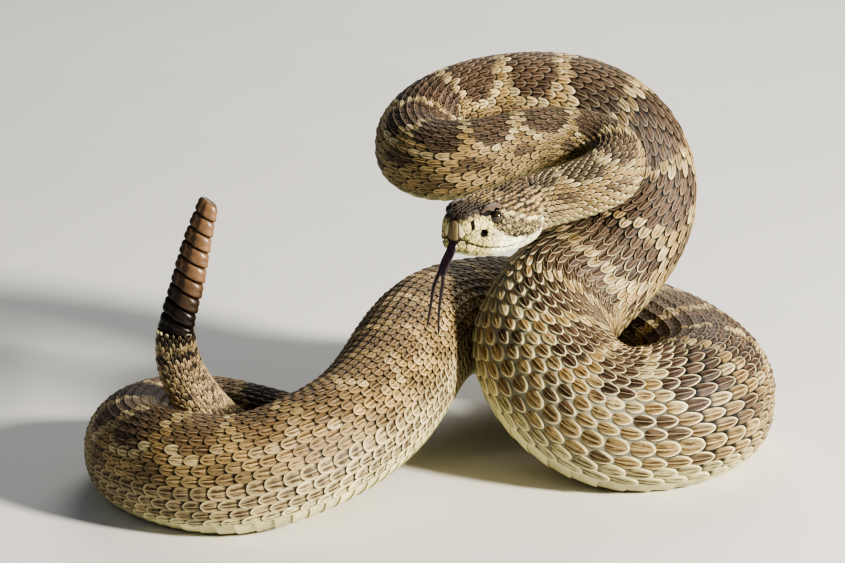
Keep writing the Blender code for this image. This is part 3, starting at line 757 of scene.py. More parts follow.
def tube(name, grid):
    """A closed tube through rows of points, from a grid primitive rolled up."""
    rows, sides = grid.shape[:2]
    deselect()
    bpy.ops.mesh.primitive_grid_add(x_subdivisions=sides, y_subdivisions=rows - 1, size=2)
    item = bpy.context.object
    item.name = item.data.name = name
    flat = coordinates(item)
    column = np.rint((flat[:, 0] + 1) / 2 * sides).astype(int) % sides
    row = np.rint((flat[:, 1] + 1) / 2 * (rows - 1)).astype(int)
    item.data.vertices.foreach_set("co", (grid[row, column] * MM).ravel())
    while item.data.uv_layers:
        item.data.uv_layers.remove(item.data.uv_layers[0])
    mesh = opened(item)
    bmesh.ops.remove_doubles(mesh, verts=mesh.verts, dist=1e-8)
    rims = [edge for edge in mesh.edges if edge.is_boundary]
    ends = bmesh.ops.holes_fill(mesh, edges=rims, sides=0)["faces"]
    bmesh.ops.poke(mesh, faces=ends)
    closed(mesh, item)
    return item


FOOT = 0.95                      # how wide the lower face of a scale is, as a share of the upper one
OVERLAP = 1.5                    # length of a scale as a share of the space to the next, for the lay of most


class Tile:
    """The shape of one scale: an oval patch of a few faces with a wall round it and a face below."""

    def __init__(self, along, across, roundness):
        u, v = np.meshgrid(along, across, indexing="ij")
        self.x = (u * np.sqrt(1 - roundness * v ** 2 / 2)).ravel()
        self.y = (v * np.sqrt(1 - roundness * u ** 2 / 2)).ravel()
        n, m = u.shape
        at = np.arange(n * m).reshape(n, m)
        self.faces = [(at[i, j], at[i + 1, j], at[i + 1, j + 1], at[i, j + 1])
                      for i in range(n - 1) for j in range(m - 1)]
        rim = list(at[:, 0]) + list(at[-1, 1:]) + list(at[-2::-1, -1]) + list(at[0, -2:0:-1])
        foot = [n * m + k for k in range(len(rim))]
        self.rim = np.array(rim)
        for k in range(len(rim)):
            after = (k + 1) % len(rim)
            self.faces.append((rim[after], rim[k], foot[k], foot[after]))
        self.faces.append(tuple(reversed(foot)))
        self.top = n * m
        self.x = np.concatenate([self.x, FOOT * self.x[self.rim]])
        self.y = np.concatenate([self.y, FOOT * self.y[self.rim]])
        self.size = len(self.x)


class Cell:
    """The shape of one plate cut to fit its neighbours: rings round a middle, with a wall and a face below."""

    RINGS = (0.5, 0.88, 1.0)
    HEIGHTS = (0.8, 0.35, -0.6)      # share of the dome at each ring

    def __init__(self, spokes):
        self.angle = np.linspace(0, 2 * math.pi, spokes, endpoint=False)
        n = spokes
        ring = [list(range(1 + k * n, 1 + (k + 1) * n)) for k in range(4)]
        self.faces = []
        for k in range(n):
            after = (k + 1) % n
            self.faces.append((0, ring[0][k], ring[0][after]))
            for inner, outer in zip(ring[:3], ring[1:]):
                self.faces.append((inner[k], outer[k], outer[after], inner[after]))
        self.faces.append(tuple(reversed(ring[3])))
        self.share = np.concatenate([[0.0], np.repeat(self.RINGS + (FOOT,), n)])
        self.spoke = np.concatenate([[0], np.tile(np.arange(n), 4)])
        self.dome = np.concatenate([[1.0], np.repeat(self.HEIGHTS, n)])
        self.size = 1 + 4 * n


BACK_TILE = Tile([-1, -0.6, -0.2, 0.25, 0.65, 1], [-1, -0.6, -0.2, 0, 0.2, 0.6, 1], 0.96)
PLATE_TILE = Tile([-1, -0.82, -0.4, 0, 0.4, 0.82, 1], [-1, -0.82, -0.4, 0, 0.4, 0.82, 1], 0.75)
BELLY_TILE = Tile([-1, -0.6, 0.3, 0.85, 1], np.linspace(-1, 1, 17), 0.16)
CELL = Cell(14)


def joined(name, tile, points, colours, lay, places):
    """One mesh from many copies of a tile, with the shape of each given by its own points."""
    count = len(points)
    data = bpy.data.meshes.new(name)
    faces = []
    for k in range(count):
        first = k * tile.size
        faces.extend([tuple(first + i for i in face) for face in tile.faces])
    data.from_pydata((points.reshape(-1, 3) * MM).tolist(), [], faces)
    item = bpy.data.objects.new(name, data)
    bpy.context.scene.collection.objects.link(item)
    store_marks(item, colours.reshape(-1, colours.shape[-1]), lay.reshape(-1, 3))
    store_map(item, places.reshape(-1, 2))
    return item


def tile_heights(tile, tip, dome, keel, foot, root):
    """Height of each point of a scale above the body, rising from a tucked root to a free tip."""
    x, y = tile.x, tile.y
    rise = root + (tip - root) * np.clip((x + 1) / 2, 0, 1) ** 0.75
    rise = rise + dome * (1 - y ** 2) * (1 - x ** 4)
    ridge = np.clip((x + 0.85) / 0.4, 0, 1) * np.clip((1.02 - x) / 0.3, 0, 1)
    rise = rise + keel * bell(y, 0.13) * ridge
    rise[tile.top:] = foot
    return rise


def map_places(t, angle, x=0.0, y=0.0):
    """Places on the baking map, the unrolled skin, with a small patch for each scale."""
    u = t / (SNAKE.end + MAP_MARGIN) + PATCH / 2 * x
    v = 0.5 + angle / (2 * math.pi) * MAP_WIDTH + PATCH / 2 * y
    return np.stack(np.broadcast_arrays(u, v), axis=-1)


def lay_of(x, y, long, draw):
    """How far along a scale of common length and how far across it its vertices lie, and a random number."""
    return np.stack(np.broadcast_arrays(1 - (1 - x) * long / OVERLAP, y, draw), axis=-1)


def positions(start, end):
    """Distances from the snout at which one scale follows another."""
    found = [start]
    while found[-1] < end:
        found.append(found[-1] + rows_of(PITCH, found[-1]))
    return np.array(found)


# Materials

class Finish:
    """A material being made: nodes are added by kind and linked by name."""

    def __init__(self, name):
        self.material = bpy.data.materials.new(name)
        self.material.use_nodes = True
        self.tree = self.material.node_tree
        self.shader = self.tree.nodes["Principled BSDF"]

    def put(self, socket, value):
        """Give a socket a value, or a link from the output that gives it."""
        if hasattr(value, "is_output"):
            self.tree.links.new(value, socket)
        else:
            socket.default_value = value

    def set(self, **values):
        for name, value in values.items():
            self.put(self.shader.inputs[name.replace("_", " ")], value)

    def add(self, kind, inputs=(), **settings):
        node = self.tree.nodes.new(kind)
        for name, value in settings.items():
            setattr(node, name, value)
        for key, value in dict(inputs).items():
            self.put(node.inputs[key], value)
        return node

    def read(self, name, output="Vector"):
        return self.add("ShaderNodeAttribute", attribute_name=name).outputs[output]

    def maths(self, operation, *values):
        """The result of a Math node."""
        return self.add("ShaderNodeMath", dict(enumerate(values)), operation=operation).outputs[0]

    def times(self, value, *others):
        """The product of two or more values."""
        for other in others:
            value = self.maths("MULTIPLY", value, other)
        return value

    def ramp(self, value, low, high, bottom=0.0, top=1.0):
        inputs = {"Value": value, "From Min": low, "From Max": high, "To Min": bottom, "To Max": top}
        return self.add("ShaderNodeMapRange", inputs, interpolation_type="SMOOTHSTEP").outputs["Result"]

    def mix(self, share, one, two, blend="MIX"):
        node = self.add("ShaderNodeMix", data_type="RGBA", blend_type=blend)
        for index, value in ((0, share), (6, one), (7, two)):
            self.put(node.inputs[index], value)
        return node.outputs[2]

    def vector(self, x, y, z=0.0):
        return self.add("ShaderNodeCombineXYZ", {"X": x, "Y": y, "Z": z}).outputs[0]

    def length(self, x, y):
        """How long a flat vector is."""
        return self.add("ShaderNodeVectorMath", {0: self.vector(x, y)}, operation="LENGTH").outputs["Value"]

    def lay(self):
        """The three values of the lay that a piece keeps for each vertex."""
        return self.add("ShaderNodeSeparateXYZ", {"Vector": self.read("lay")}).outputs

    def shade(self, share, base, value):
        """A colour made darker or paler by a value, to a share."""
        return self.mix(share, base, self.vector(value, value, value), "MULTIPLY")

    def noise(self, vector, scale, detail=2.0, roughness=0.5):
        inputs = {"Vector": vector, "Scale": scale, "Detail": detail, "Roughness": roughness}
        return self.add("ShaderNodeTexNoise", inputs).outputs["Fac"]

    def place(self):
        return self.add("ShaderNodeTexCoord").outputs["Object"]

    def bump(self, height, distance, strength, under=None):
        inputs = {"Height": height, "Distance": distance, "Strength": strength}
        if under is not None:
            inputs["Normal"] = under
        return self.add("ShaderNodeBump", inputs).outputs["Normal"]


def scale_finish(name, settings, keeled, rim, streaks, roughness, root, flecked=0.35, sides=(0.9, 1.0)):
    """Horny scales: their own marking, dark streaks beside the keel, fine flecks, a root darker partly in its own
    colour and partly by painted shade, sides darkened by painted shade, and a pale rim that is partly a painted
    highlight.
    """
    f = Finish(name)
    marking = f.read("marks", "Color")
    strength = f.read("marks", "Alpha")
    along, off_keel, draw = f.lay()
    reach = f.length(along, off_keel)
    across = f.maths("ABSOLUTE", off_keel)
    stretched = f.vector(f.times(along, 1.2), f.times(off_keel, 5.0), f.times(draw, 57.0))
    wander = f.noise(stretched, 1.0, 3.0, 0.6)
    flecks = f.ramp(f.noise(f.place(), 2600.0, 3.0, 0.65), 0.5, 0.66)
    base = f.shade(1.0, marking, f.ramp(draw, 0.0, 1.0, 0.8, 1.18))
    dark = f.mix(1.0, base, (0.2, 0.145, 0.11, 1), "MULTIPLY")
    beside = f.times(f.ramp(across, 0.04, 0.16, 0.1, 1.0), f.ramp(across, 0.75, 0.3))
    streak = f.times(f.ramp(wander, 0.4, 0.54), beside, f.ramp(reach, 0.88, 0.66))
    base = f.mix(f.times(streak, streaks), base, dark)
    base = f.mix(f.times(flecks, flecked), base, dark)
    ridge = f.times(f.ramp(across, 0.09, 0.03), f.ramp(reach, 0.9, 0.6))
    base = f.mix(f.times(ridge, 0.3 * keeled), base, opaque(settings.border))
    # The pale rim is partly the scale's own edge colour and partly a painted highlight on the raised tip.
    edge = f.ramp(f.maths("ADD", reach, f.times(wander, 0.2)), 0.96, 1.05)
    edge = f.times(edge, f.ramp(along, -0.6, 0.1), strength, rim)
    base = f.mix(edge, base, opaque(settings.rim))
    # Painted shade: the root, under the scale ahead, and the sides of each scale are darkened where scales lie close,
    # less where they are drawn apart; the root's darkness is partly its own colour.
    close = f.ramp(strength, 0.8, 0.86, 1.0, 0.12)
    base = f.shade(close, base, f.ramp(along, -0.42, -0.08, root, 1.0))
    base = f.shade(close, base, f.ramp(across, sides[0], 1.0, 1.0, sides[1]))
    grain = f.noise(f.place(), 5200.0, 2.0, 0.6)
    lines = f.noise(stretched, 3.0, 2.0, 0.5)
    normal = f.bump(grain, 0.00006, 0.5)
    normal = f.bump(lines, 0.00014, 0.7, normal)
    f.set(Base_Color=base, Normal=normal, Metallic=0.0, Specular_IOR_Level=0.3,
          Roughness=f.ramp(grain, 0.3, 0.7, roughness - 0.07, roughness + 0.08))
    return f.material


def skin_finish():
    """Bare skin between the scales, wrinkled, in the marking's own colour."""
    f = Finish("snake skin")
    marking = f.read("marks", "Color")
    place = f.place()
    base = f.mix(f.ramp(f.noise(place, 3500.0, 2.0, 0.5), 0.45, 0.7, 0.0, 0.45), marking,
                 f.shade(1.0, marking, 0.35))
    normal = f.bump(f.noise(place, 2800.0, 3.0, 0.6), 0.0002, 0.7)
    f.set(Base_Color=base, Normal=normal, Roughness=0.7, Metallic=0.0, Specular_IOR_Level=0.25)
    return f.material


class SNAKE_PG_looks(bpy.types.PropertyGroup):
    """Colours and sizes of the snake."""

    def tint(name, text, description):
        return FloatVectorProperty(name=name, description=description, default=colour(text), min=0, max=1, size=3,
                                   subtype="COLOR")

    ground: tint("Ground", "a68d60", "Colour of the back between the blotches")
    flank: tint("Flank", "a8946a", "Colour low on the sides")
    border: tint("Border", "dccda2", "Pale border round each blotch")
    blotch: tint("Blotch", "5b493b", "Colour of the blotches")
    blotch_middle: tint("Blotch middle", "725d4b", "Colour in the middle of a blotch")
    belly: tint("Belly", "cfcb9e", "Colour of the belly plates")
    tail_pale: tint("Tail, pale", "bba57e", "Pale scales of the tail")
    tail_dark: tint("Tail, dark", "2b211b", "Dark rings and specks of the tail")
    crown: tint("Crown", "a48a5a", "Colour of the top of the head")
    crown_pale: tint("Crown flecks", "d0bd8e", "Paler scales on the top of the head")
    snout: tint("Snout", "4d4238", "Colour of the top of the snout")
    brow: tint("Brow", "64564a", "Colour of the plate over the eye")
    pink: tint("Canthus", "94825f", "Colour of the scales along the snout's edge")
    strip: tint("Strip", "f2e6b6", "Palest plate of the snout and pale line behind the eye")
    rostral: tint("Rostral", "857658", "Colour of the plate at the tip of the snout")
    cheek: tint("Cheek", "41361e", "Dark band behind the eye")
    lip: tint("Lip", "d2c88e", "Colour of the lips and the front of the face")
    lip_shade: tint("Lip shade", "8f8456", "Darker mottling of the lips and face")
    throat: tint("Throat", "f2eecb", "Colour under the head")
    rim: tint("Rim", "ece0b6", "Pale rim of a scale")
    bare_skin: tint("Bare skin", "94917f", "Colour of the skin where the scales are drawn apart")
    seam: tint("Seam", "2b221a", "Colour of the skin under close scales")
    horn: tint("Horn", "84674c", "Colour of the rattle")
    horn_dark: tint("Horn, dark", "1c1512", "Colour of the rattle's base")
    tongue: tint("Tongue", "1c1016", "Colour of the tongue")
    iris: tint("Iris", "4a3c26", "Colour of the eye")
    floor: tint("Floor", "e4e1db", "Colour of the floor")
    skin_depth: FloatProperty(name="Skin depth", description="How far the skin lies inside the scales' tips, in mm",
                              default=0.5, min=0.1, max=1.5)
    keel: FloatProperty(name="Keel", description="Height of the ridge along a scale, in mm", default=0.26, min=0,
                        max=0.6)
    tip: FloatProperty(name="Tip", description="How far a scale's free tip stands out of the body, in mm",
                       default=0.32, min=0, max=0.6)
    seed: IntProperty(name="Seed", description="Number that the small differences between scales come from",
                      default=7, min=0)


class Builder:
    """What the operators share: each builds its pieces from the scene's looks."""

    bl_options = {"REGISTER"}

    def execute(self, context):
        self.build(context.scene.snake_looks)
        return {"FINISHED"}


HEAD = {}                        # the skin of the head, kept for its scales to be set on


def head_features(points, depth):
    """How far the skin stands out of the plain head at points in the head's axes."""
    behind, side, height = spread(points)
    move = np.full(behind.shape, -depth)
    corner = ease((MOUTH_CORNER + 0.6 - behind) / 1.5)
    move -= MOUTH_DEPTH * corner * bell(height - lip_line(behind), MOUTH_WIDTH)
    eye = np.sqrt(np.maximum((behind - EYE[0]) ** 2 + (side - EYE[1]) ** 2 + (height - EYE[2]) ** 2 - 0.9, 0))
    move += SOCKET_RIM * bell(eye - SOCKET, 0.3)
    move = np.where(eye < 2.2, move - SOCKET_DEPTH * ease((2.1 - eye) / 0.4), move)
    nostril, pit = openings(behind, height)
    move -= NOSTRIL_DEPTH * ease((1.2 - nostril) / 0.6) * (side > FACE_SIDE)
    move -= PIT_DEPTH * ease((1.15 - pit) / 0.5) * (side > FACE_SIDE)
    return move


def openings(behind, height):
    """How far places on the side of the face lie from the middle of the nostril and the pit, for edges at one."""
    nostril = np.hypot((behind - NOSTRIL[0]) / NOSTRIL_SIZE[0], (height - NOSTRIL[2]) / NOSTRIL_SIZE[1])
    pit = np.hypot((behind - PIT[0]) / PIT_SIZE[0], (height - PIT[2]) / PIT_SIZE[1])
    return nostril, pit


class SNAKE_OT_skin(Builder, bpy.types.Operator):
    """Make one skin from the snout to the rattle"""

    bl_idname = "snake.skin"
    bl_label = "Skin"

    SIDES = 160
    BODY_ROWS = 385
    KEPT = 6                         # rows of the neck that the head's scales may lie on
    FLOOR_GAP = 0.15
    BULGE = 0.55
    # Rows that close the snout: share of the first row's size and of the bulge
    CAPS = ((0.12, 1.0), (0.35, 0.95), (0.6, 0.78), (0.85, 0.42))

    def build(self, looks):
        tints = tints_of(looks)
        t = np.concatenate([np.arange(0, 14, 0.36), np.arange(14, 46, 0.6),
                            np.linspace(46, SNAKE.end, self.BODY_ROWS)])
        share = np.linspace(0, 1, self.SIDES, endpoint=False)
        share = np.where(share > 0.5, share - 1, share)
        half = SNAKE.arcs[:, -1]
        angle = np.empty((len(t), self.SIDES))
        for row, distance in enumerate(t):
            plain = 2 * math.pi * share
            if distance < NECK_WHOLE:
                length = np.interp(distance, SNAKE.arc_knots, half)
                even = SNAKE.angle_at(np.full(self.SIDES, distance), 2 * share * length)
                plain = even + ease((distance - NECK_BEGINS) / (NECK_WHOLE - NECK_BEGINS)) * (plain - even)
            angle[row] = plain
        grid_t = np.repeat(t[:, None], self.SIDES, axis=1)
        base, _, _, out = SNAKE.frame(grid_t, angle)
        move = np.full(grid_t.shape, -looks.skin_depth)
        head = grid_t < NECK_WHOLE
        move[head] = head_features(to_head(base[head]), looks.skin_depth)
        grid = base + move[..., None] * out
        self.raise_brows(grid, out)
        grid[..., 2] = np.maximum(grid[..., 2], self.FLOOR_GAP)
        front = grid[0].mean(axis=0)
        nose = head_way([self.BULGE, 0, 0])
        caps = [front + size * (grid[0] - front) + bulge * nose for size, bulge in self.CAPS]
        full = np.concatenate([np.array(caps), grid])
        item = tube("skin", full)
        self.paint(item, full, np.concatenate([np.zeros(len(caps)), t]), angle, tints)
        finish_piece(item, skin_finish())
        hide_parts(*FLESH)
        self.remember(full[:len(full) - self.BODY_ROWS + self.KEPT])

    @staticmethod
    def raise_brows(grid, out):
        """Push the skin out to the brow ridges."""
        for side in (1, -1):
            centre = np.array([-BROW[0], side * BROW[1], BROW[2]])
            scaled = (to_head(grid) - centre) / BROW_SIZE
            way = (out @ HEAD_TURN) / BROW_SIZE
            a = np.sum(way * way, axis=-1)
            b = np.sum(scaled * way, axis=-1)
            c = np.sum(scaled * scaled, axis=-1) - 1
            inside = c < 0
            push = np.where(inside, (-b + np.sqrt(np.maximum(b * b - a * c, 0))) / a, 0)
            grid += (np.minimum(push, 1.6) * 0.85)[..., None] * out

    @staticmethod
    def paint(item, full, t, angle, tints):
        """Colour every vertex of the skin by where it lies on the snake."""
        rows, sides = full.shape[:2]
        placed = full.reshape(-1, 3)
        flat = coordinates(item) / MM
        angle = np.concatenate([np.repeat(angle[:1], rows - len(angle), axis=0), angle])
        lookup = {tuple(np.round(point, 4)): k for k, point in enumerate(placed.astype(np.float32))}
        index = np.zeros(len(flat), dtype=int)
        for k, point in enumerate(flat.astype(np.float32)):
            found = lookup.get(tuple(np.round(point, 4)))
            if found is None:
                found = np.argmin(np.sum((placed - flat[k]) ** 2, axis=1))
            index[k] = found
        vertex_t = np.repeat(t, sides)[index]
        vertex_angle = angle.ravel()[index]
        colours = seams(vertex_t, marks(vertex_t, vertex_angle, flat, tints), tints)
        behind, side, height = spread(to_head(flat))
        nostril, pit = openings(behind, height)
        # Painted shade: the nostril, the pit and the mouth line are darkened to near black.
        hole = np.maximum(ease((1.8 - nostril) / 0.5), ease((1.6 - pit) / 0.4)) * (side > FACE_SIDE)
        hole = hole * (vertex_t < 20)
        gap = bell(height - lip_line(behind), MOUTH_WIDTH) * ease((24 - behind) / 16) * (vertex_t < 40)
        colours = blended(colours, PAINTED_HOLLOW_SHADE, np.maximum(hole, gap))
        store_marks(item, colours, np.zeros((len(flat), 3)))
        store_map(item, map_places(vertex_t, vertex_angle))

    @staticmethod
    def remember(rows):
        """Keep the head's skin for its scales to be set on."""
        count, sides = rows.shape[:2]
        at = np.arange(count * sides).reshape(count, sides)
        faces = []
        for i in range(count - 1):
            for j in range(sides):
                k = (j + 1) % sides
                faces.append((int(at[i, j]), int(at[i, k]), int(at[i + 1, k]), int(at[i + 1, j])))
        points = rows.reshape(-1, 3)
        HEAD["tree"] = BVHTree.FromPolygons([tuple(p) for p in points], faces)
        around = np.roll(rows, -1, axis=1) - np.roll(rows, 1, axis=1)
        along = np.gradient(rows, axis=0)
        HEAD["out"] = unit(np.cross(around, along) + 1e-9).reshape(-1, 3)
        HEAD["faces"] = faces


class SNAKE_OT_back_scales(Builder, bpy.types.Operator):
    """Lay the keeled scales of the back and sides, from the nape to the rattle"""

    bl_idname = "snake.back_scales"
    bl_label = "Back scales"

    PIECE = 1560                     # scales in a piece at the most
    BLUR = 0.22                      # how far the marking runs on within one scale
    CREAM_ROWS = (9, 11)             # the low rows of the left coil, with dark middles
    # Length of a scale as a share of the space from one to the next, by distance from the snout
    LONG = np.array([(44, 1.2), (80, 1.3), (130, 1.46), (262, 1.46), (300, 1.38), (340, 1.32), (390, 1.34),
                     (700, 1.34), (800, 1.45), (920, 1.45)])
    # Strength of the pale rims, partly the scales' own edge colour and partly a painted highlight, by distance from
    # the snout
    RIM = np.array([(44, 0.9), (80, 0.8), (130, 0.25), (262, 0.2), (290, 0.35), (335, 0.9), (400, 0.95), (440, 0.15),
                    (520, 0.06), (680, 0.06), (720, 0.12), (860, 0.12), (880, 0.4), (920, 0.4)])

    def build(self, looks):
        tints = tints_of(looks)
        rng = np.random.default_rng(looks.seed)
        rows = np.arange(-BACK_ROWS, BACK_ROWS + 1)
        steps = positions(SCALES_BEGIN, SNAKE.end - ROWS_STOP)
        t = (steps[:-1] + 0.5 * (rows[:, None] % 2) * np.diff(steps)).ravel()
        row = np.repeat(rows, len(steps) - 1)
        order = np.argsort(t, kind="stable")
        order = order[t[order] < SNAKE.end - SCALES_STOP]
        t, row = t[order], row[order]
        material = scale_finish("back scales", looks, keeled=1.0, rim=0.85, streaks=0.95, roughness=0.52, root=0.05,
                                flecked=0.4, sides=(0.74, 0.12))
        pieces = math.ceil(len(t) / self.PIECE)
        for k, part in enumerate(np.array_split(np.arange(len(t)), pieces)):
            item = self.lay(f"back_scales_{k + 1}", t[part], row[part], looks, tints, rng)
            finish_piece(item, material, 50)

    def lay(self, name, t, row, looks, tints, rng):
        tile = BACK_TILE
        count = len(t)
        size = np.abs(row)
        angle = np.radians(row * (ROW_ANGLE + ROW_GROWTH * size))
        step = np.radians(ROW_ANGLE + 2 * ROW_GROWTH * size)
        pitch = rows_of(PITCH, t)
        _, along, around, _ = SNAKE.frame(t, angle)
        stretch = np.linalg.norm(along, axis=-1)
        spacing = np.linalg.norm(around, axis=-1) * step
        fill = rows_of(FILL, t) * (1 + np.interp(t, [280, 320, 400, 440], [0.09, 0.22, 0.22, 0.09]) * (size >= 11))
        length = rows_of(self.LONG, t) * pitch * rng.uniform(0.95, 1.06, count)
        reach = length / np.clip(stretch, 0.72, 1 + 0.4 * ease((1.04 - rows_of(FILL, t)) / 0.1)) / 2
        width = fill * spacing * rng.uniform(0.95, 1.05, count) / 2
        half_angle = width / np.linalg.norm(around, axis=-1)
        turn = rng.normal(0, 0.04, count)
        x, y = tile.x[None, :], tile.y[None, :]
        taper = np.interp(t, [420, 470, 700, 800], [1, 1.1, 1.1, 1])[:, None]
        narrow = 1 - taper * (0.13 * x + 0.1 * x ** 2)
        centre_t = t + pitch * 0.5
        at_t = centre_t[:, None] + reach[:, None] * (x - turn[:, None] * y)
        at_angle = angle[:, None] - half_angle[:, None] * (y * narrow + 0.8 * turn[:, None] * x)
        keel = looks.keel * np.where(size >= 11, 0.0, np.where(size >= 9, 0.5, 1.0))
        grow = np.clip(pitch / 4.4, 0.55, 1.05)
        tip = looks.tip * grow + rng.normal(0, 0.04, count)
        lift = np.stack([tile_heights(tile, a, 0.22 * g, k * g, -0.75, -0.46) for a, k, g in zip(tip, keel, grow)])
        points = SNAKE.place(at_t, at_angle, lift)
        sample_t = centre_t[:, None] + self.BLUR * (at_t - centre_t[:, None])
        sample_angle = angle[:, None] + self.BLUR * (at_angle - angle[:, None])
        sample_t = sample_t + (rng.normal(0, 0.5, count) * grow)[:, None]
        colours = marks(sample_t, sample_angle, points, tints)
        middle = bell(np.hypot(x - 0.2, y), 0.6) * rng.uniform(0.5, 1, count)[:, None]
        low, high = self.CREAM_ROWS
        mottled = np.interp(t, [430, 480, 720, 800], [0, 1, 1, 0.2]) * ((size >= low) & (size <= high))
        colours = blended(colours, 0.6 * tints["blotch"], mottled[:, None] * middle)
        # Painted shade: each scale's wall is darkened to a fifth of its colour.
        colours[:, tile.top:] *= 0.2
        rim = rows_of(self.RIM, t)[:, None] * rng.uniform(0.5, 1.15, count)[:, None]
        low_rim = np.interp(t, [40, 262, 300, 900], [0.2, 0.2, 0.5, 0.3]) * (size >= 10)
        rim = np.clip(rim + low_rim[:, None], 0, 0.8)
        drawn_apart = (rows_of(FILL, t) < 1.0) & (t > 200)
        rim = np.where(drawn_apart[:, None], 0.85 + 0.15 * rim, rim)
        colours = np.concatenate([colours, np.broadcast_to(rim, at_t.shape)[..., None]], axis=-1)
        lay = lay_of(x, y, (2 * reach / pitch)[:, None], rng.uniform(0, 1, count)[:, None])
        return joined(name, tile, points, colours, lay, map_places(centre_t[:, None], angle[:, None], tile.x, tile.y))


class SNAKE_OT_belly_plates(Builder, bpy.types.Operator):
    """Lay the broad plates of the belly, one for each row of scales"""

    bl_idname = "snake.belly_plates"
    bl_label = "Belly plates"

    LONG = 1.24                      # length of a plate as a share of the space to the next

    def build(self, looks):
        tints = tints_of(looks)
        rng = np.random.default_rng(looks.seed + 1)
        tile = BELLY_TILE
        steps = positions(PLATES_BEGIN, SNAKE.end - ROWS_STOP)
        t = (steps[:-1] + steps[1:]) / 2
        pitch = np.diff(steps)
        x, y = tile.x[None, :], tile.y[None, :]
        at_t = t[:, None] + self.LONG / 2 * pitch[:, None] * x
        at_angle = math.pi - (math.pi - PLATE_EDGE) * y + 0 * at_t
        lift = tile_heights(tile, tip=0.14, dome=0.02, keel=0.0, foot=-0.75, root=-0.5)
        points = SNAKE.place(at_t, at_angle, np.broadcast_to(lift, at_t.shape).copy())
        colours = marks(at_t, at_angle, points, tints)
        # Painted shade: each plate's wall is darkened to a quarter of its colour.
        colours[:, tile.top:] *= 0.25
        lay = lay_of(x, y, self.LONG, rng.uniform(0, 1, len(t))[:, None])
        places = map_places(t[:, None], math.pi, tile.x, tile.y)
        places[..., 1] = 0.995 + PATCH / 2 * tile.y
        item = joined("belly_plates", tile, points, colours, lay, places)
        material = scale_finish("belly plates", looks, keeled=0.0, rim=0.25, streaks=0.15, roughness=0.42, root=0.3)
        finish_piece(item, material, 50)


def nearest(point):
    """The nearest place on the head's skin and the way out there."""
    found, _, face, _ = HEAD["tree"].find_nearest(Vector(point))
    return np.array(found), unit(HEAD["out"][list(HEAD["faces"][face])].sum(axis=0))


def on_head(points, lift):
    """Set points on the skin of the head, lifted off it by heights in millimetres."""
    result = np.empty_like(points)
    for k, (point, height) in enumerate(zip(points, lift)):
        found, out = nearest(point)
        result[k] = found + height * out
    return result


def skin_frame(point, rearward):
    """The nearest place on the head's skin, the way to the rear there, the way across and the way out."""
    found, out = nearest(point)
    rear = square_to(rearward, out)
    return found, rear, np.cross(out, rear), out


def oval(way, half_length, half_width):
    """How far an oval reaches in directions given along and across it."""
    return 1 / np.hypot(way[..., 0] / half_length, way[..., 1] / half_width)


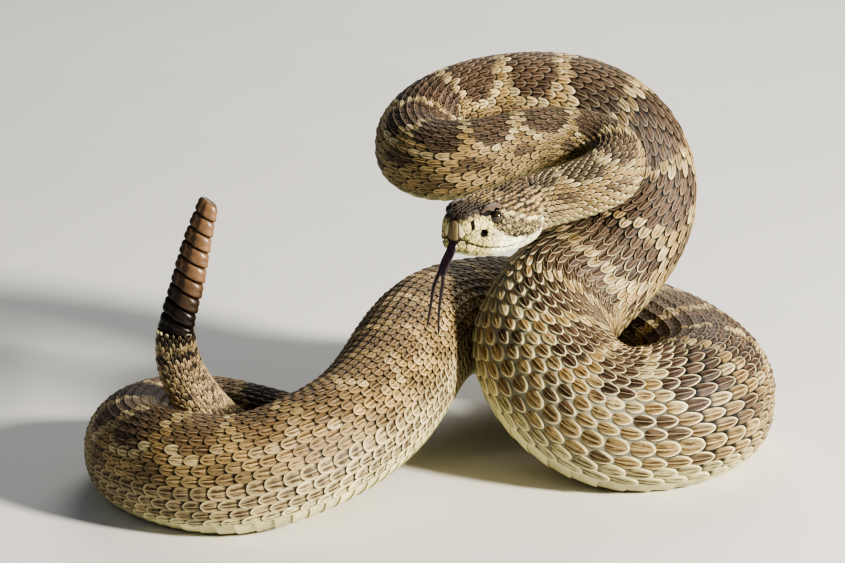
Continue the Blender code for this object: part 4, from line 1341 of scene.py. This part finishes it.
class Plates:
    """Plates of the face, each cut to fit its neighbours."""

    SHARPNESS = 12                   # how sharp the corners of a plate are
    OVERSIZE = 1.7                   # how far a plate runs past its own oval where it has no neighbour
    FAR = 8                          # neighbours farther off than this, in millimetres, are left alone
    LEAST = 0.15                     # least reach of a plate toward a neighbour

    def __init__(self):
        self.rows = []

    def add(self, frame, length, width, kind="plate", tint=None, thick=0.14, dome=0.05, slope=0.0):
        centre, rear, across, out = frame
        self.rows.append({"centre": centre, "rear": rear, "across": across, "out": out,
                          "half": (length / 2, width / 2), "kind": kind, "tint": tint, "thick": thick,
                          "dome": dome, "slope": slope})

    def clear(self, centre, out, half_length, half_width, rear, share):
        """Whether a new scale at a place would keep off every plate so far."""
        for row in self.rows:
            offset = centre - row["centre"]
            distance = np.linalg.norm(offset)
            if distance > self.FAR or np.dot(row["out"], out) < 0:
                continue
            toward = np.array([np.dot(offset, row["rear"]), np.dot(offset, row["across"])])
            back = np.array([np.dot(offset, rear), np.dot(offset, np.cross(out, rear))])
            theirs = oval(toward / max(np.linalg.norm(toward), 1e-6), *row["half"])
            own = oval(back / max(np.linalg.norm(back), 1e-6), half_length, half_width)
            if distance < share * (theirs + own):
                return False
        return True

    @staticmethod
    def to_hole(row, other, offset, way):
        """How far each spoke of a plate runs before it meets the oval edge of an opening."""
        axes = np.array([[np.dot(theirs, own) for own in (row["rear"], row["across"])]
                         for theirs in (other["rear"], other["across"])])
        start = -axes @ np.array([np.dot(offset, row["rear"]), np.dot(offset, row["across"])]) / other["half"]
        step = way @ axes.T / other["half"]
        a = np.sum(step * step, axis=-1)
        b = step @ start
        c = start @ start - 1
        inside = b * b - a * c
        return np.where((inside > 0) & (b < 0), (-b - np.sqrt(np.maximum(inside, 0))) / a, np.inf)

    def outline(self, index):
        """The directions and reaches of one plate's spokes, stopped short of its neighbours."""
        row = self.rows[index]
        half_length, half_width = row["half"]
        spoke = np.arctan2(half_width * np.sin(CELL.angle), half_length * np.cos(CELL.angle))
        way = np.stack([np.cos(spoke), np.sin(spoke)], axis=-1)
        total = (self.OVERSIZE * oval(way, half_length, half_width)) ** -self.SHARPNESS
        offsets = np.array([other["centre"] for other in self.rows]) - row["centre"]
        distances = np.linalg.norm(offsets, axis=1)
        for at in np.flatnonzero((distances > 0.05) & (distances < self.FAR)):
            other, offset, distance = self.rows[at], offsets[at], distances[at]
            flat = np.array([np.dot(offset, row["rear"]), np.dot(offset, row["across"])])
            back = -np.array([np.dot(offset, other["rear"]), np.dot(offset, other["across"])])
            if np.linalg.norm(flat) < 0.3 * distance or np.linalg.norm(back) < 0.3 * distance:
                continue
            if other["kind"] == "hole":
                reach = self.to_hole(row, other, offset, way)
                total += np.where(np.isfinite(reach), np.maximum(reach, self.LEAST), np.inf) ** -self.SHARPNESS
                continue
            toward = flat / np.linalg.norm(flat)
            own = oval(toward, half_length, half_width)
            theirs = oval(back / np.linalg.norm(back), *other["half"])
            seam = LIP_SEAM if {row["kind"], other["kind"]} == {"upper", "lower"} else SEAM
            stop = max(distance * own / (own + theirs) - seam / 2, self.LEAST)
            along = way @ toward
            hit = along > 0.08
            total[hit] += (stop / along[hit]) ** -self.SHARPNESS
        return way, total ** (-1 / self.SHARPNESS)


class SNAKE_OT_head_scales(Builder, bpy.types.Operator):
    """Lay the lips, the face plates, the small scales of the crown and those of the throat"""

    bl_idname = "snake.head_scales"
    bl_label = "Head scales"

    REARWARD = head_way([-1.0, 0, 0])
    LONG = 1.18                      # length of a crown scale as a share of the space to the next
    THROAT_PITCH = 2.3               # space from one throat scale to the next, and between their rows
    THROAT_GAP = 2.0
    THROAT_EDGE = math.radians(129)
    THROAT_ENDS = 42.0               # distances from the snout where the throat's and the crown's scales end
    CROWN_ENDS = 45.2
    LIP_ROOM = 1.2                   # clear space for the lips, above and below the mouth line
    EYE_ROOM = 2.9                   # clear space round the middle of the eye

    def build(self, looks):
        self.tints = tints_of(looks)
        self.rng = np.random.default_rng(looks.seed + 2)
        self.plates = Plates()
        self.face()
        self.lips()
        brows = self.brows()
        crown = self.small()
        plates = [self.shaped(k) for k in range(len(self.plates.rows)) if self.plates.rows[k]["kind"] != "hole"]
        smooth = scale_finish("face plates", looks, keeled=0.0, rim=0.6, streaks=0.2, roughness=0.42, root=0.95,
                              flecked=0.3)
        rough = scale_finish("crown scales", looks, keeled=1.0, rim=0.3, streaks=0.45, roughness=0.55, root=0.04,
                             sides=(0.2, 0.05))
        for name, tile, found, material in (("face_plates", CELL, plates, smooth),
                                            ("brow_plates", PLATE_TILE, brows, smooth),
                                            ("crown_scales", BACK_TILE, crown, rough)):
            points, colours, lay, places = [np.array(column) for column in zip(*found)]
            item = joined(name, tile, points, colours, lay, places)
            finish_piece(item, material, 50)

    def dressed(self, centre, points, x, y, tint, wander, rim, long=OVERLAP):
        """The colours, lay and place on the baking map of one plate or scale."""
        colours = head_marks(to_head(centre + wander * (points - centre)), self.tints)
        local = to_head(centre)
        behind = -local[0]
        angle = math.atan2(local[1], local[2] + 2.0)
        share = float(past_head(behind))
        if share:
            body = body_marks(np.full(len(x), behind), np.full(len(x), angle), self.tints)
            colours = blended(colours, body, np.full(len(x), share))
        if tint is not None:
            colours = blended(colours, self.tints[tint], np.full(len(x), 0.85))
        colours = np.concatenate([colours, np.full((len(x), 1), rim)], axis=-1)
        return colours, lay_of(x, y, long, self.rng.uniform()), map_places(max(behind, 0.0), angle, x, y)

    def shaped(self, index):
        """One fitted plate: its points, colours, lay and place on the baking map."""
        row = self.plates.rows[index]
        way, reach = self.plates.outline(index)
        way, reach = way[CELL.spoke], reach[CELL.spoke] * CELL.share
        flat = (row["centre"] + (reach * way[:, 0])[:, None] * row["rear"]
                + (reach * way[:, 1])[:, None] * row["across"])
        x, y = CELL.share * np.cos(CELL.angle)[CELL.spoke], CELL.share * np.sin(CELL.angle)[CELL.spoke]
        lift = np.full(CELL.size, -0.35)
        count = len(CELL.dome)
        lift[:count] = row["thick"] + row["dome"] * CELL.dome + row["slope"] * x[:count]
        points = on_head(flat, lift)
        colours, lay, place = self.dressed(row["centre"], points, x, y, row["tint"], 0.8, 0.0)
        # Painted shade: each plate's wall and the ring along its edge are darkened.
        colours[count:, :3] = shaded(colours[count:], 0.12, 0.3)
        outer = slice(count - len(CELL.angle), count)
        colours[outer, :3] = shaded(colours[outer], 0.4, 0.74)
        return points, colours, lay, place

    def scale(self, frame, length, width, tip, dome, keel):
        """One overlapping scale of the crown."""
        centre, rear, across, _ = frame
        turn = self.rng.normal(0, 0.12)
        rear, across = rear + turn * across, across - turn * rear
        tile = BACK_TILE
        flat = (centre + (tile.x * length / 2)[:, None] * rear
                + (tile.y * (1 - 0.1 * tile.x) * width / 2)[:, None] * across)
        points = on_head(flat, tile_heights(tile, tip, dome, keel, foot=-0.3, root=-0.3))
        behind = -to_head(centre)[0]
        rim = self.rng.uniform(0.0, 0.7) * float(ease((behind - 4) / 14)) + 0.3 * float(ease((behind - 30) / 8))
        colours, lay, place = self.dressed(centre, points, tile.x, tile.y, None, 0.2, rim, self.LONG)
        # Painted shade: each scale's wall is darkened to a fifth of its colour.
        colours[tile.top:, :3] *= 0.2
        return points, colours, lay, place

    def side_point(self, behind, height, side):
        """A point on the plain head at a height."""
        values = through(HEAD_SECTIONS[:, 1:], HEAD_SECTIONS[:, 0], np.array([max(behind, 0.0)]))[0]
        half, top, level, bottom, above_power, below_power = values
        span, power = (top - level, above_power) if height >= level else (level - bottom, below_power)
        above = np.clip(abs(height - level) / span, 0, 1)
        across = max(1 - above ** power, 0) ** (1 / power)
        return head_place(behind, side * half * across, height)

    def hole(self, behind, out_to, height, length, width, side):
        """A place that plates are cut short of, with none of its own."""
        out = unit(head_way([0.2, side * 0.95, 0.1]))
        rear = square_to(self.REARWARD, out)
        centre = head_place(behind, side * out_to, height)
        self.plates.add((centre, rear, np.cross(out, rear), out), length, width, "hole")

    def face(self):
        """The plates of the snout, round the nostril, the pit and the eye, and below the chin."""
        for side in (1, -1):
            self.hole(*NOSTRIL, 1.6 * NOSTRIL_SIZE[0], 1.7 * NOSTRIL_SIZE[1], side)
            self.hole(*PIT, 1.4 * PIT_SIZE[0], 1.4 * PIT_SIZE[1], side)
            self.hole(EYE[0], EYE[1] + 1.0, EYE[2], 2.25 * EYE_RADIUS, 2.25 * EYE_RADIUS, side)
            for behind, out_to, height, length, width, lie, tint in FACE_PLATES:
                point = head_place(behind, side * out_to, height)
                lie = head_way([lie[0], side * lie[1], lie[2]])
                self.plates.add(skin_frame(point, lie), length, width, "plate", tint)
            self.eye_ring(side)
            behind, out_to, height, length, width = CHIN
            self.plates.add(skin_frame(head_place(behind, side * out_to, height), self.REARWARD), length, width)
        for (behind, out_to, height, length, width), kind, tint in ((ROSTRAL, "upper", "rostral"),
                                                                    (MENTAL, "lower", None)):
            frame = skin_frame(head_place(behind, out_to, height), head_way(DOWN))
            self.plates.add(frame, length, width, kind, tint, thick=0.35, dome=0.2)

    def eye_ring(self, side):
        """Small scales round the eye, below the brow."""
        centre = head_place(EYE[0], side * EYE[1], EYE[2])
        _, rear, _, out = skin_frame(head_place(EYE[0], side * (EYE[1] + 1.2), EYE[2]), self.REARWARD)
        up = np.cross(rear, out) * side
        up = up if np.dot(up, head_way([0, 0, 1.0])) > 0 else -up
        for angle in np.radians(np.arange(-195, 25, 27)):
            spoke = math.cos(angle) * rear + math.sin(angle) * up
            frame = skin_frame(centre + 0.9 * out + EYE_RING * spoke, spoke)
            if self.plates.clear(frame[0], frame[3], 0.5, 0.6, frame[1], 0.62):
                self.plates.add(frame, 1.2, 1.35, thick=0.25, dome=0.1)

    def lips(self):
        """Upper and lower lip plates, from the snout to the corner of the mouth."""
        for count, sign, kind in ((UPPER_LIPS, 1, "upper"), (LOWER_LIPS, -1, "lower")):
            first = 1.1 if sign > 0 else 0.9
            edges = np.linspace(0, 1, count + 1) ** 1.1 * (MOUTH_CORNER + 0.4 - first) + first
            for side in (1, -1):
                for front, rear_edge in zip(edges, edges[1:]):
                    middle = (front + rear_edge) / 2
                    tall = LIP_HEIGHT * np.interp(middle, [1, 8, 24, 35], [0.9, 1.0, 1.0, 0.8])
                    height = float(mouth_height(middle)) + sign * tall / 2
                    ahead = self.side_point(front, float(mouth_height(front)) + sign * tall / 2, side)
                    behind = self.side_point(rear_edge, float(mouth_height(rear_edge)) + sign * tall / 2, side)
                    frame = skin_frame(self.side_point(middle, height, side), behind - ahead)
                    self.plates.add(frame, rear_edge - front, tall, kind, thick=0.22, dome=0.06)

    def brows(self):
        """The broad plate over each eye."""
        found = []
        behind, out_to, height, length, width = BROW_PLATE
        tile = PLATE_TILE
        for side in (1, -1):
            centre = head_place(behind, side * out_to, height)
            rear = unit(head_way([-0.99, side * 0.09, 0.07]))
            out = square_to(head_way([0, side * 0.42, 0.9]), rear)
            across = np.cross(out, rear)
            flat = centre + (tile.x * length / 2)[:, None] * rear + (tile.y * width / 2)[:, None] * across
            points = on_head(flat, tile_heights(tile, tip=0.4, dome=0.12, keel=0.0, foot=-0.4, root=0.25))
            colours, lay, place = self.dressed(centre, points, tile.x, tile.y, "brow", 0.3, 0.0)
            found.append((points, colours, lay, place))
            self.plates.add((centre, rear, across, out), 0.9 * length, 0.8 * width, "hole")
        return found

    def small(self):
        """The small keeled scales of the crown, and the fitted ones of the cheeks and throat."""
        found, fitted = [], []
        for from_below, steps in ((False, positions(2.0, 46.0)), (True, np.arange(3.0, 44.0, self.THROAT_PITCH))):
            for t in steps:
                pitch = self.THROAT_PITCH if from_below else float(rows_of(PITCH, t))
                gap = self.THROAT_GAP if from_below else float(rows_of(CROWN_ROWS, t))
                whole = float(np.interp(t, SNAKE.arc_knots, SNAKE.arcs[:, -1]))
                for row in range(-14, 15):
                    wander = self.rng.normal(0, 0.0 if from_below else 0.09, 2)
                    at = t + ((0.5 if row % 2 else 0.0) + wander[0]) * pitch
                    arc = (row + wander[1]) * gap
                    if abs(arc) > whole:
                        continue
                    reach = whole - abs(arc) if from_below else arc
                    turn = float(SNAKE.angle_at(np.array([at]), np.array([reach]))[0])
                    if from_below:
                        turn = math.copysign(turn, arc if arc else 1)
                    point = SNAKE.plain(np.array([at]), np.array([turn]))[0]
                    if self.fits(to_head(point), at, turn, from_below):
                        self.settle(point, pitch, gap, from_below, found, fitted)
        for frame, pitch, gap, slope in fitted:
            self.plates.add(frame, pitch, gap, thick=0.22, dome=0.08, slope=slope)
        return found

    def settle(self, point, pitch, gap, from_below, found, fitted):
        """Lay one small scale where no plate is in its way."""
        frame = skin_frame(point, self.REARWARD)
        behind, _, height = spread(to_head(point))
        cheek = from_below or (behind < 34 and height < np.interp(behind, *CHEEK_TOP))
        if not self.plates.clear(frame[0], frame[3], pitch / 2, gap / 2, frame[1], 0.86 if behind > 11 else 0.92):
            return
        if cheek:
            fitted.append((frame, pitch, gap, 0.0 if from_below else 0.1))
            return
        grow = min(1.0, pitch / 3)
        jitter = self.rng.uniform(0.92, 1.08)
        keel = 0.2 * min(1.0, behind / 20 + 0.35)
        slim = np.interp(behind, [6, 14, 32, 44], [0.98, 0.9, 0.9, 0.94])
        found.append(self.scale(frame, self.LONG * pitch * jitter, slim * gap * self.rng.uniform(0.9, 1.08),
                                0.42 + 0.3 * grow, 0.2, keel))

    def fits(self, local, t, turn, from_below):
        """Whether a small scale belongs at a place."""
        behind, height = -local[0], local[2]
        line = float(lip_line(behind))
        edge = self.THROAT_EDGE
        if t > self.CROWN_ENDS or abs(turn) > edge and t > self.THROAT_ENDS:
            return False
        if from_below:
            outside = height > line - self.LIP_ROOM if behind < 36.5 else abs(turn) < edge
            if behind > 43 or outside:
                return False
        elif height < line + self.LIP_ROOM if behind < 36 else abs(turn) > edge:
            return False
        return math.dist(local, (-EYE[0], math.copysign(EYE[1], local[1]), EYE[2])) > self.EYE_ROOM


class SNAKE_OT_eyes(Builder, bpy.types.Operator):
    """Set the eyes, with upright slit pupils"""

    bl_idname = "snake.eyes"
    bl_label = "Eyes"

    GAZE = (0.28, 0.93, 0.12)        # the way the left eye looks, in the head's own axes
    CORNEA = 0.06                    # how far the front of the eye bulges, as a share of its radius
    PUPIL = (0.17, 0.56)             # its half-width and half-height, as shares of that radius

    def build(self, looks):
        material = self.finish(looks)
        for name, side in (("left", 1), ("right", -1)):
            deselect()
            bpy.ops.mesh.primitive_uv_sphere_add(segments=48, ring_count=32, radius=EYE_RADIUS * MM)
            item = bpy.context.object
            item.name = item.data.name = "eye_ball_" + name
            ball = coordinates(item) / MM
            gaze = unit(np.array(self.GAZE) * (1, side, 1))
            ahead = square_to(np.array([1.0, 0, 0]), gaze)
            up = np.cross(gaze, ahead) * side
            turned = np.stack([ball[:, 2], ball[:, 0], ball[:, 1]], axis=-1) @ np.stack([gaze, ahead, up])
            bulge = 1 + self.CORNEA * ease((turned @ gaze / EYE_RADIUS - 0.75) / 0.25)
            centre = np.array([-EYE[0], side * EYE[1], EYE[2]])
            points = to_world(centre + turned * bulge[:, None])
            item.data.vertices.foreach_set("co", (points * MM).ravel())
            item.data.update()
            local = np.stack([turned @ ahead, turned @ up, turned @ gaze], axis=-1) / EYE_RADIUS
            store_marks(item, np.zeros((len(points), 3)), local)
            closed(opened(item), item)
            finish_piece(item, material)
            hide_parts("eye_" + name)

    def finish(self, looks):
        f = Finish("eye")
        ahead, up, _ = f.lay()
        pupil = f.length(f.maths("DIVIDE", ahead, self.PUPIL[0]), f.maths("DIVIDE", up, self.PUPIL[1]))
        inside = f.ramp(pupil, 0.92, 1.08, 1.0, 0.0)
        veins = f.noise(f.place(), 2600.0, 4.0, 0.7)
        iris = f.mix(f.ramp(veins, 0.38, 0.62), opaque(looks.iris, 0.35), opaque(looks.iris))
        iris = f.mix(f.ramp(f.length(ahead, up), 0.58, 0.86), iris, (0.012, 0.009, 0.007, 1))
        f.set(Base_Color=f.mix(inside, iris, (0.004, 0.004, 0.004, 1)), Roughness=0.1, Metallic=0.0,
              Specular_IOR_Level=0.5, Coat_Weight=1.0, Coat_Roughness=0.02)
        return f.material


def ribbon(rail, rows, thickness):
    """Rows of 20 points round a flat line, such as the tongue or one of its tines."""
    s = np.linspace(0.0, rail.length, rows)
    centre, _, up, side = rail.frames(s)
    angle = np.linspace(0, 2 * math.pi, 20, endpoint=False)
    half = rail.half_width(s) * np.where(s > rail.length - 0.5, 0.55, 1.0)
    across = half[:, None] * np.sin(angle)
    above = thickness * np.cos(angle) * (1 - 0.35 * bell(np.sin(angle), 0.3))
    return (centre[:, None] + across[..., None] * side[:, None]
            + np.broadcast_to(above, across.shape)[..., None] * up[:, None])


class SNAKE_OT_tongue(Builder, bpy.types.Operator):
    """Shape the forked tongue"""

    bl_idname = "snake.tongue"
    bl_label = "Tongue"

    def build(self, looks):
        inside = [(name, tuple(to_world(np.array(place))), width, up) for name, place, width, up in TONGUE_ROOT]
        parts = [tube("tongue_body", ribbon(Rail(inside + TONGUE), 60, 0.6))]
        for k, tine in enumerate(TINES):
            parts.append(tube(f"tongue_tine_{k + 1}", ribbon(Rail(tine), 44, 0.35)))
        material = self.finish(looks)
        for item in parts:
            finish_piece(item, material)
        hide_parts("tongue")

    @staticmethod
    def finish(looks):
        f = Finish("tongue")
        place = f.place()
        base = f.mix(f.ramp(f.noise(place, 700.0, 3.0, 0.6), 0.4, 0.7), opaque(looks.tongue),
                     opaque(looks.tongue, 2.2))
        f.set(Base_Color=base, Roughness=0.28, Metallic=0.0, Specular_IOR_Level=0.5, Coat_Weight=0.4,
              Coat_Roughness=0.12, Normal=f.bump(f.noise(place, 2500.0, 2.0, 0.5), 0.00008, 0.5))
        return f.material


class SNAKE_OT_rattle(Builder, bpy.types.Operator):
    """String the rattle's horn segments, each tucked into the one before"""

    bl_idname = "snake.rattle"
    bl_label = "Rattle"

    SIDES = 56

    def build(self, looks):
        rail = SNAKE.rail
        start = rail.station["rattle_root"] + GAP / 2
        pitch = (rail.length - start) / RATTLE_SEGMENTS
        angle = np.linspace(0, 2 * math.pi, self.SIDES, endpoint=False)
        material = self.finish(looks)
        first = None
        for segment in range(RATTLE_SEGMENTS):
            along, swell = np.array(RATTLE_PROFILE).T
            s = start + pitch * (segment + along)
            at = np.clip(s, start - 2, rail.length - 0.02)
            centre, ahead, up, side = rail.frames(at)
            centre = centre + (s - at)[:, None] * ahead
            breadth = (rail.half_width(at) * swell)[:, None]
            across, above = np.sin(angle), np.cos(angle)
            groove = 1 - RATTLE_GROOVE * bell(above - RATTLE_GROOVE_AT, 0.2)
            share = np.clip((s - start) / pitch, 0, 1)[:, None]
            slant = RATTLE_SLANT * share * breadth * above
            grid = (centre[:, None] + (breadth * RATTLE_FLATNESS * groove * across)[..., None] * side[:, None]
                    + (breadth * above)[..., None] * up[:, None] - slant[..., None] * ahead[:, None])
            item = tube(f"rattle_segment_{segment + 1}", grid)
            self.paint(item, rail, start + pitch * segment, pitch, segment / (RATTLE_SEGMENTS - 1))
            finish_piece(item, material, 60)
            first = first or item
        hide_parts("rattle")

    @staticmethod
    def paint(item, rail, start, pitch, share):
        """Keep for each vertex how high its segment stands, how far across it lies and how far up the segment."""
        points = coordinates(item) / MM
        centre, ahead, up, _ = rail.frames(np.full(len(points), min(start + pitch / 2, rail.length - 1)))
        half = float(rail.half_width(start))
        above = np.sum((points - centre) * up, axis=1) / half
        along = np.sum((points - centre) * ahead, axis=1) / pitch + 0.5 + RATTLE_SLANT * above * half / pitch
        store_marks(item, np.zeros((len(points), 3)), np.stack([np.full(len(points), share), above, along], axis=-1))

    @staticmethod
    def finish(looks):
        f = Finish("rattle horn")
        share, above, along = f.lay()
        place = f.place()
        cloud = f.noise(place, 260.0, 4.0, 0.6)
        horn = f.mix(f.ramp(cloud, 0.35, 0.7, 0.0, 0.8), opaque(looks.horn), opaque(looks.horn, 0.55))
        base = f.mix(f.ramp(share, 0.08, 0.55, 0.97, 0.0), horn, opaque(looks.horn_dark))
        # Painted shade: the lobe on the side away from the key lamp and the creases where the segments meet are
        # darkened.
        base = f.shade(1.0, base, f.ramp(above, -0.35, -0.1, 0.5, 1.0))
        base = f.shade(1.0, base, f.times(f.ramp(along, 0.0, 0.16, 0.12, 1.0), f.ramp(along, 1.06, 0.86, 0.3, 1.0)))
        fine = f.noise(f.add("ShaderNodeMapping", {"Vector": place, "Scale": (400.0, 400.0, 2600.0)}).outputs[0], 1.0)
        f.set(Base_Color=base, Roughness=f.ramp(cloud, 0.3, 0.7, 0.26, 0.4), Metallic=0.0, Specular_IOR_Level=0.5,
              Subsurface_Weight=0.08, Subsurface_Radius=(0.002, 0.001, 0.0005), Subsurface_Scale=1.0,
              Normal=f.bump(fine, 0.0001, 0.4))
        return f.material


class SNAKE_OT_stage(Builder, bpy.types.Operator):
    """Set the pale floor, the soft studio lights and the camera"""

    bl_idname = "snake.stage"
    bl_label = "Stage"

    def build(self, looks):
        deselect()
        bpy.ops.mesh.primitive_plane_add(size=14, location=(0, 0, 0))
        floor = bpy.context.object
        floor.name = floor.data.name = "floor"
        f = Finish("studio floor")
        base = f.mix(f.ramp(f.noise(f.place(), 6.0, 3.0), 0.3, 0.7), opaque(looks.floor), opaque(looks.floor, 0.97))
        f.set(Base_Color=base, Roughness=0.75, Specular_IOR_Level=0.2)
        floor.data.materials.append(f.material)
        for row in LAMPS:
            self.light(*row)
        world = bpy.data.worlds.new("studio")
        scene = bpy.context.scene
        scene.world = world
        world.use_nodes = True
        background = world.node_tree.nodes["Background"].inputs
        background["Color"].default_value = WORLD_TINT
        background["Strength"].default_value = WORLD_STRENGTH
        scene.view_settings.look = "AgX - High Contrast"
        deselect()
        bpy.ops.object.camera_add(location=[value * MM for value in CAMERA_AT])
        camera = bpy.context.object
        camera.name = "camera"
        aim = Vector(CAMERA_TO) - Vector(CAMERA_AT)
        camera.rotation_euler = aim.to_track_quat("-Z", "Y").to_euler()
        camera.data.lens = CAMERA_LENS
        camera.data.sensor_width = 36
        camera.data.clip_start = 0.01
        camera.data.clip_end = 50
        scene.camera = camera

    @staticmethod
    def light(name, place, size, power, tint):
        deselect()
        bpy.ops.object.light_add(type="AREA", location=place)
        lamp = bpy.context.object
        lamp.name = name
        lamp.data.shape = "DISK"
        lamp.data.size = size
        lamp.data.energy = power
        lamp.data.color = tint
        aim = Vector(LAMPS_AIM) - Vector(place)
        lamp.rotation_euler = aim.to_track_quat("-Z", "Y").to_euler()


class SNAKE_PT_panel(bpy.types.Panel):
    """The snake's pieces, in the order in which they are made"""

    bl_label = "Rattlesnake"
    bl_idname = "SNAKE_PT_panel"
    bl_space_type = "VIEW_3D"
    bl_region_type = "UI"
    bl_category = "Snake"

    def draw(self, context):
        looks = context.scene.snake_looks
        for operator in OPERATORS:
            self.layout.operator(operator.bl_idname)
        for name in looks.__annotations__:
            self.layout.prop(looks, name)


OPERATORS = (SNAKE_OT_stage, SNAKE_OT_skin, SNAKE_OT_back_scales, SNAKE_OT_belly_plates, SNAKE_OT_head_scales,
             SNAKE_OT_eyes, SNAKE_OT_tongue, SNAKE_OT_rattle)
CLASSES = (SNAKE_PG_looks, *OPERATORS, SNAKE_PT_panel)


def register():
    for item in CLASSES:
        bpy.utils.register_class(item)
    bpy.types.Scene.snake_looks = PointerProperty(type=SNAKE_PG_looks)


def unregister():
    del bpy.types.Scene.snake_looks
    for item in reversed(CLASSES):
        bpy.utils.unregister_class(item)


def main():
    """Make the whole snake and its stage."""
    register()
    bpy.ops.snake.stage()
    bpy.ops.snake.skin()
    bpy.ops.snake.back_scales()
    bpy.ops.snake.belly_plates()
    bpy.ops.snake.head_scales()
    bpy.ops.snake.eyes()
    bpy.ops.snake.tongue()
    bpy.ops.snake.rattle()


if __name__ == "__main__":
    main()
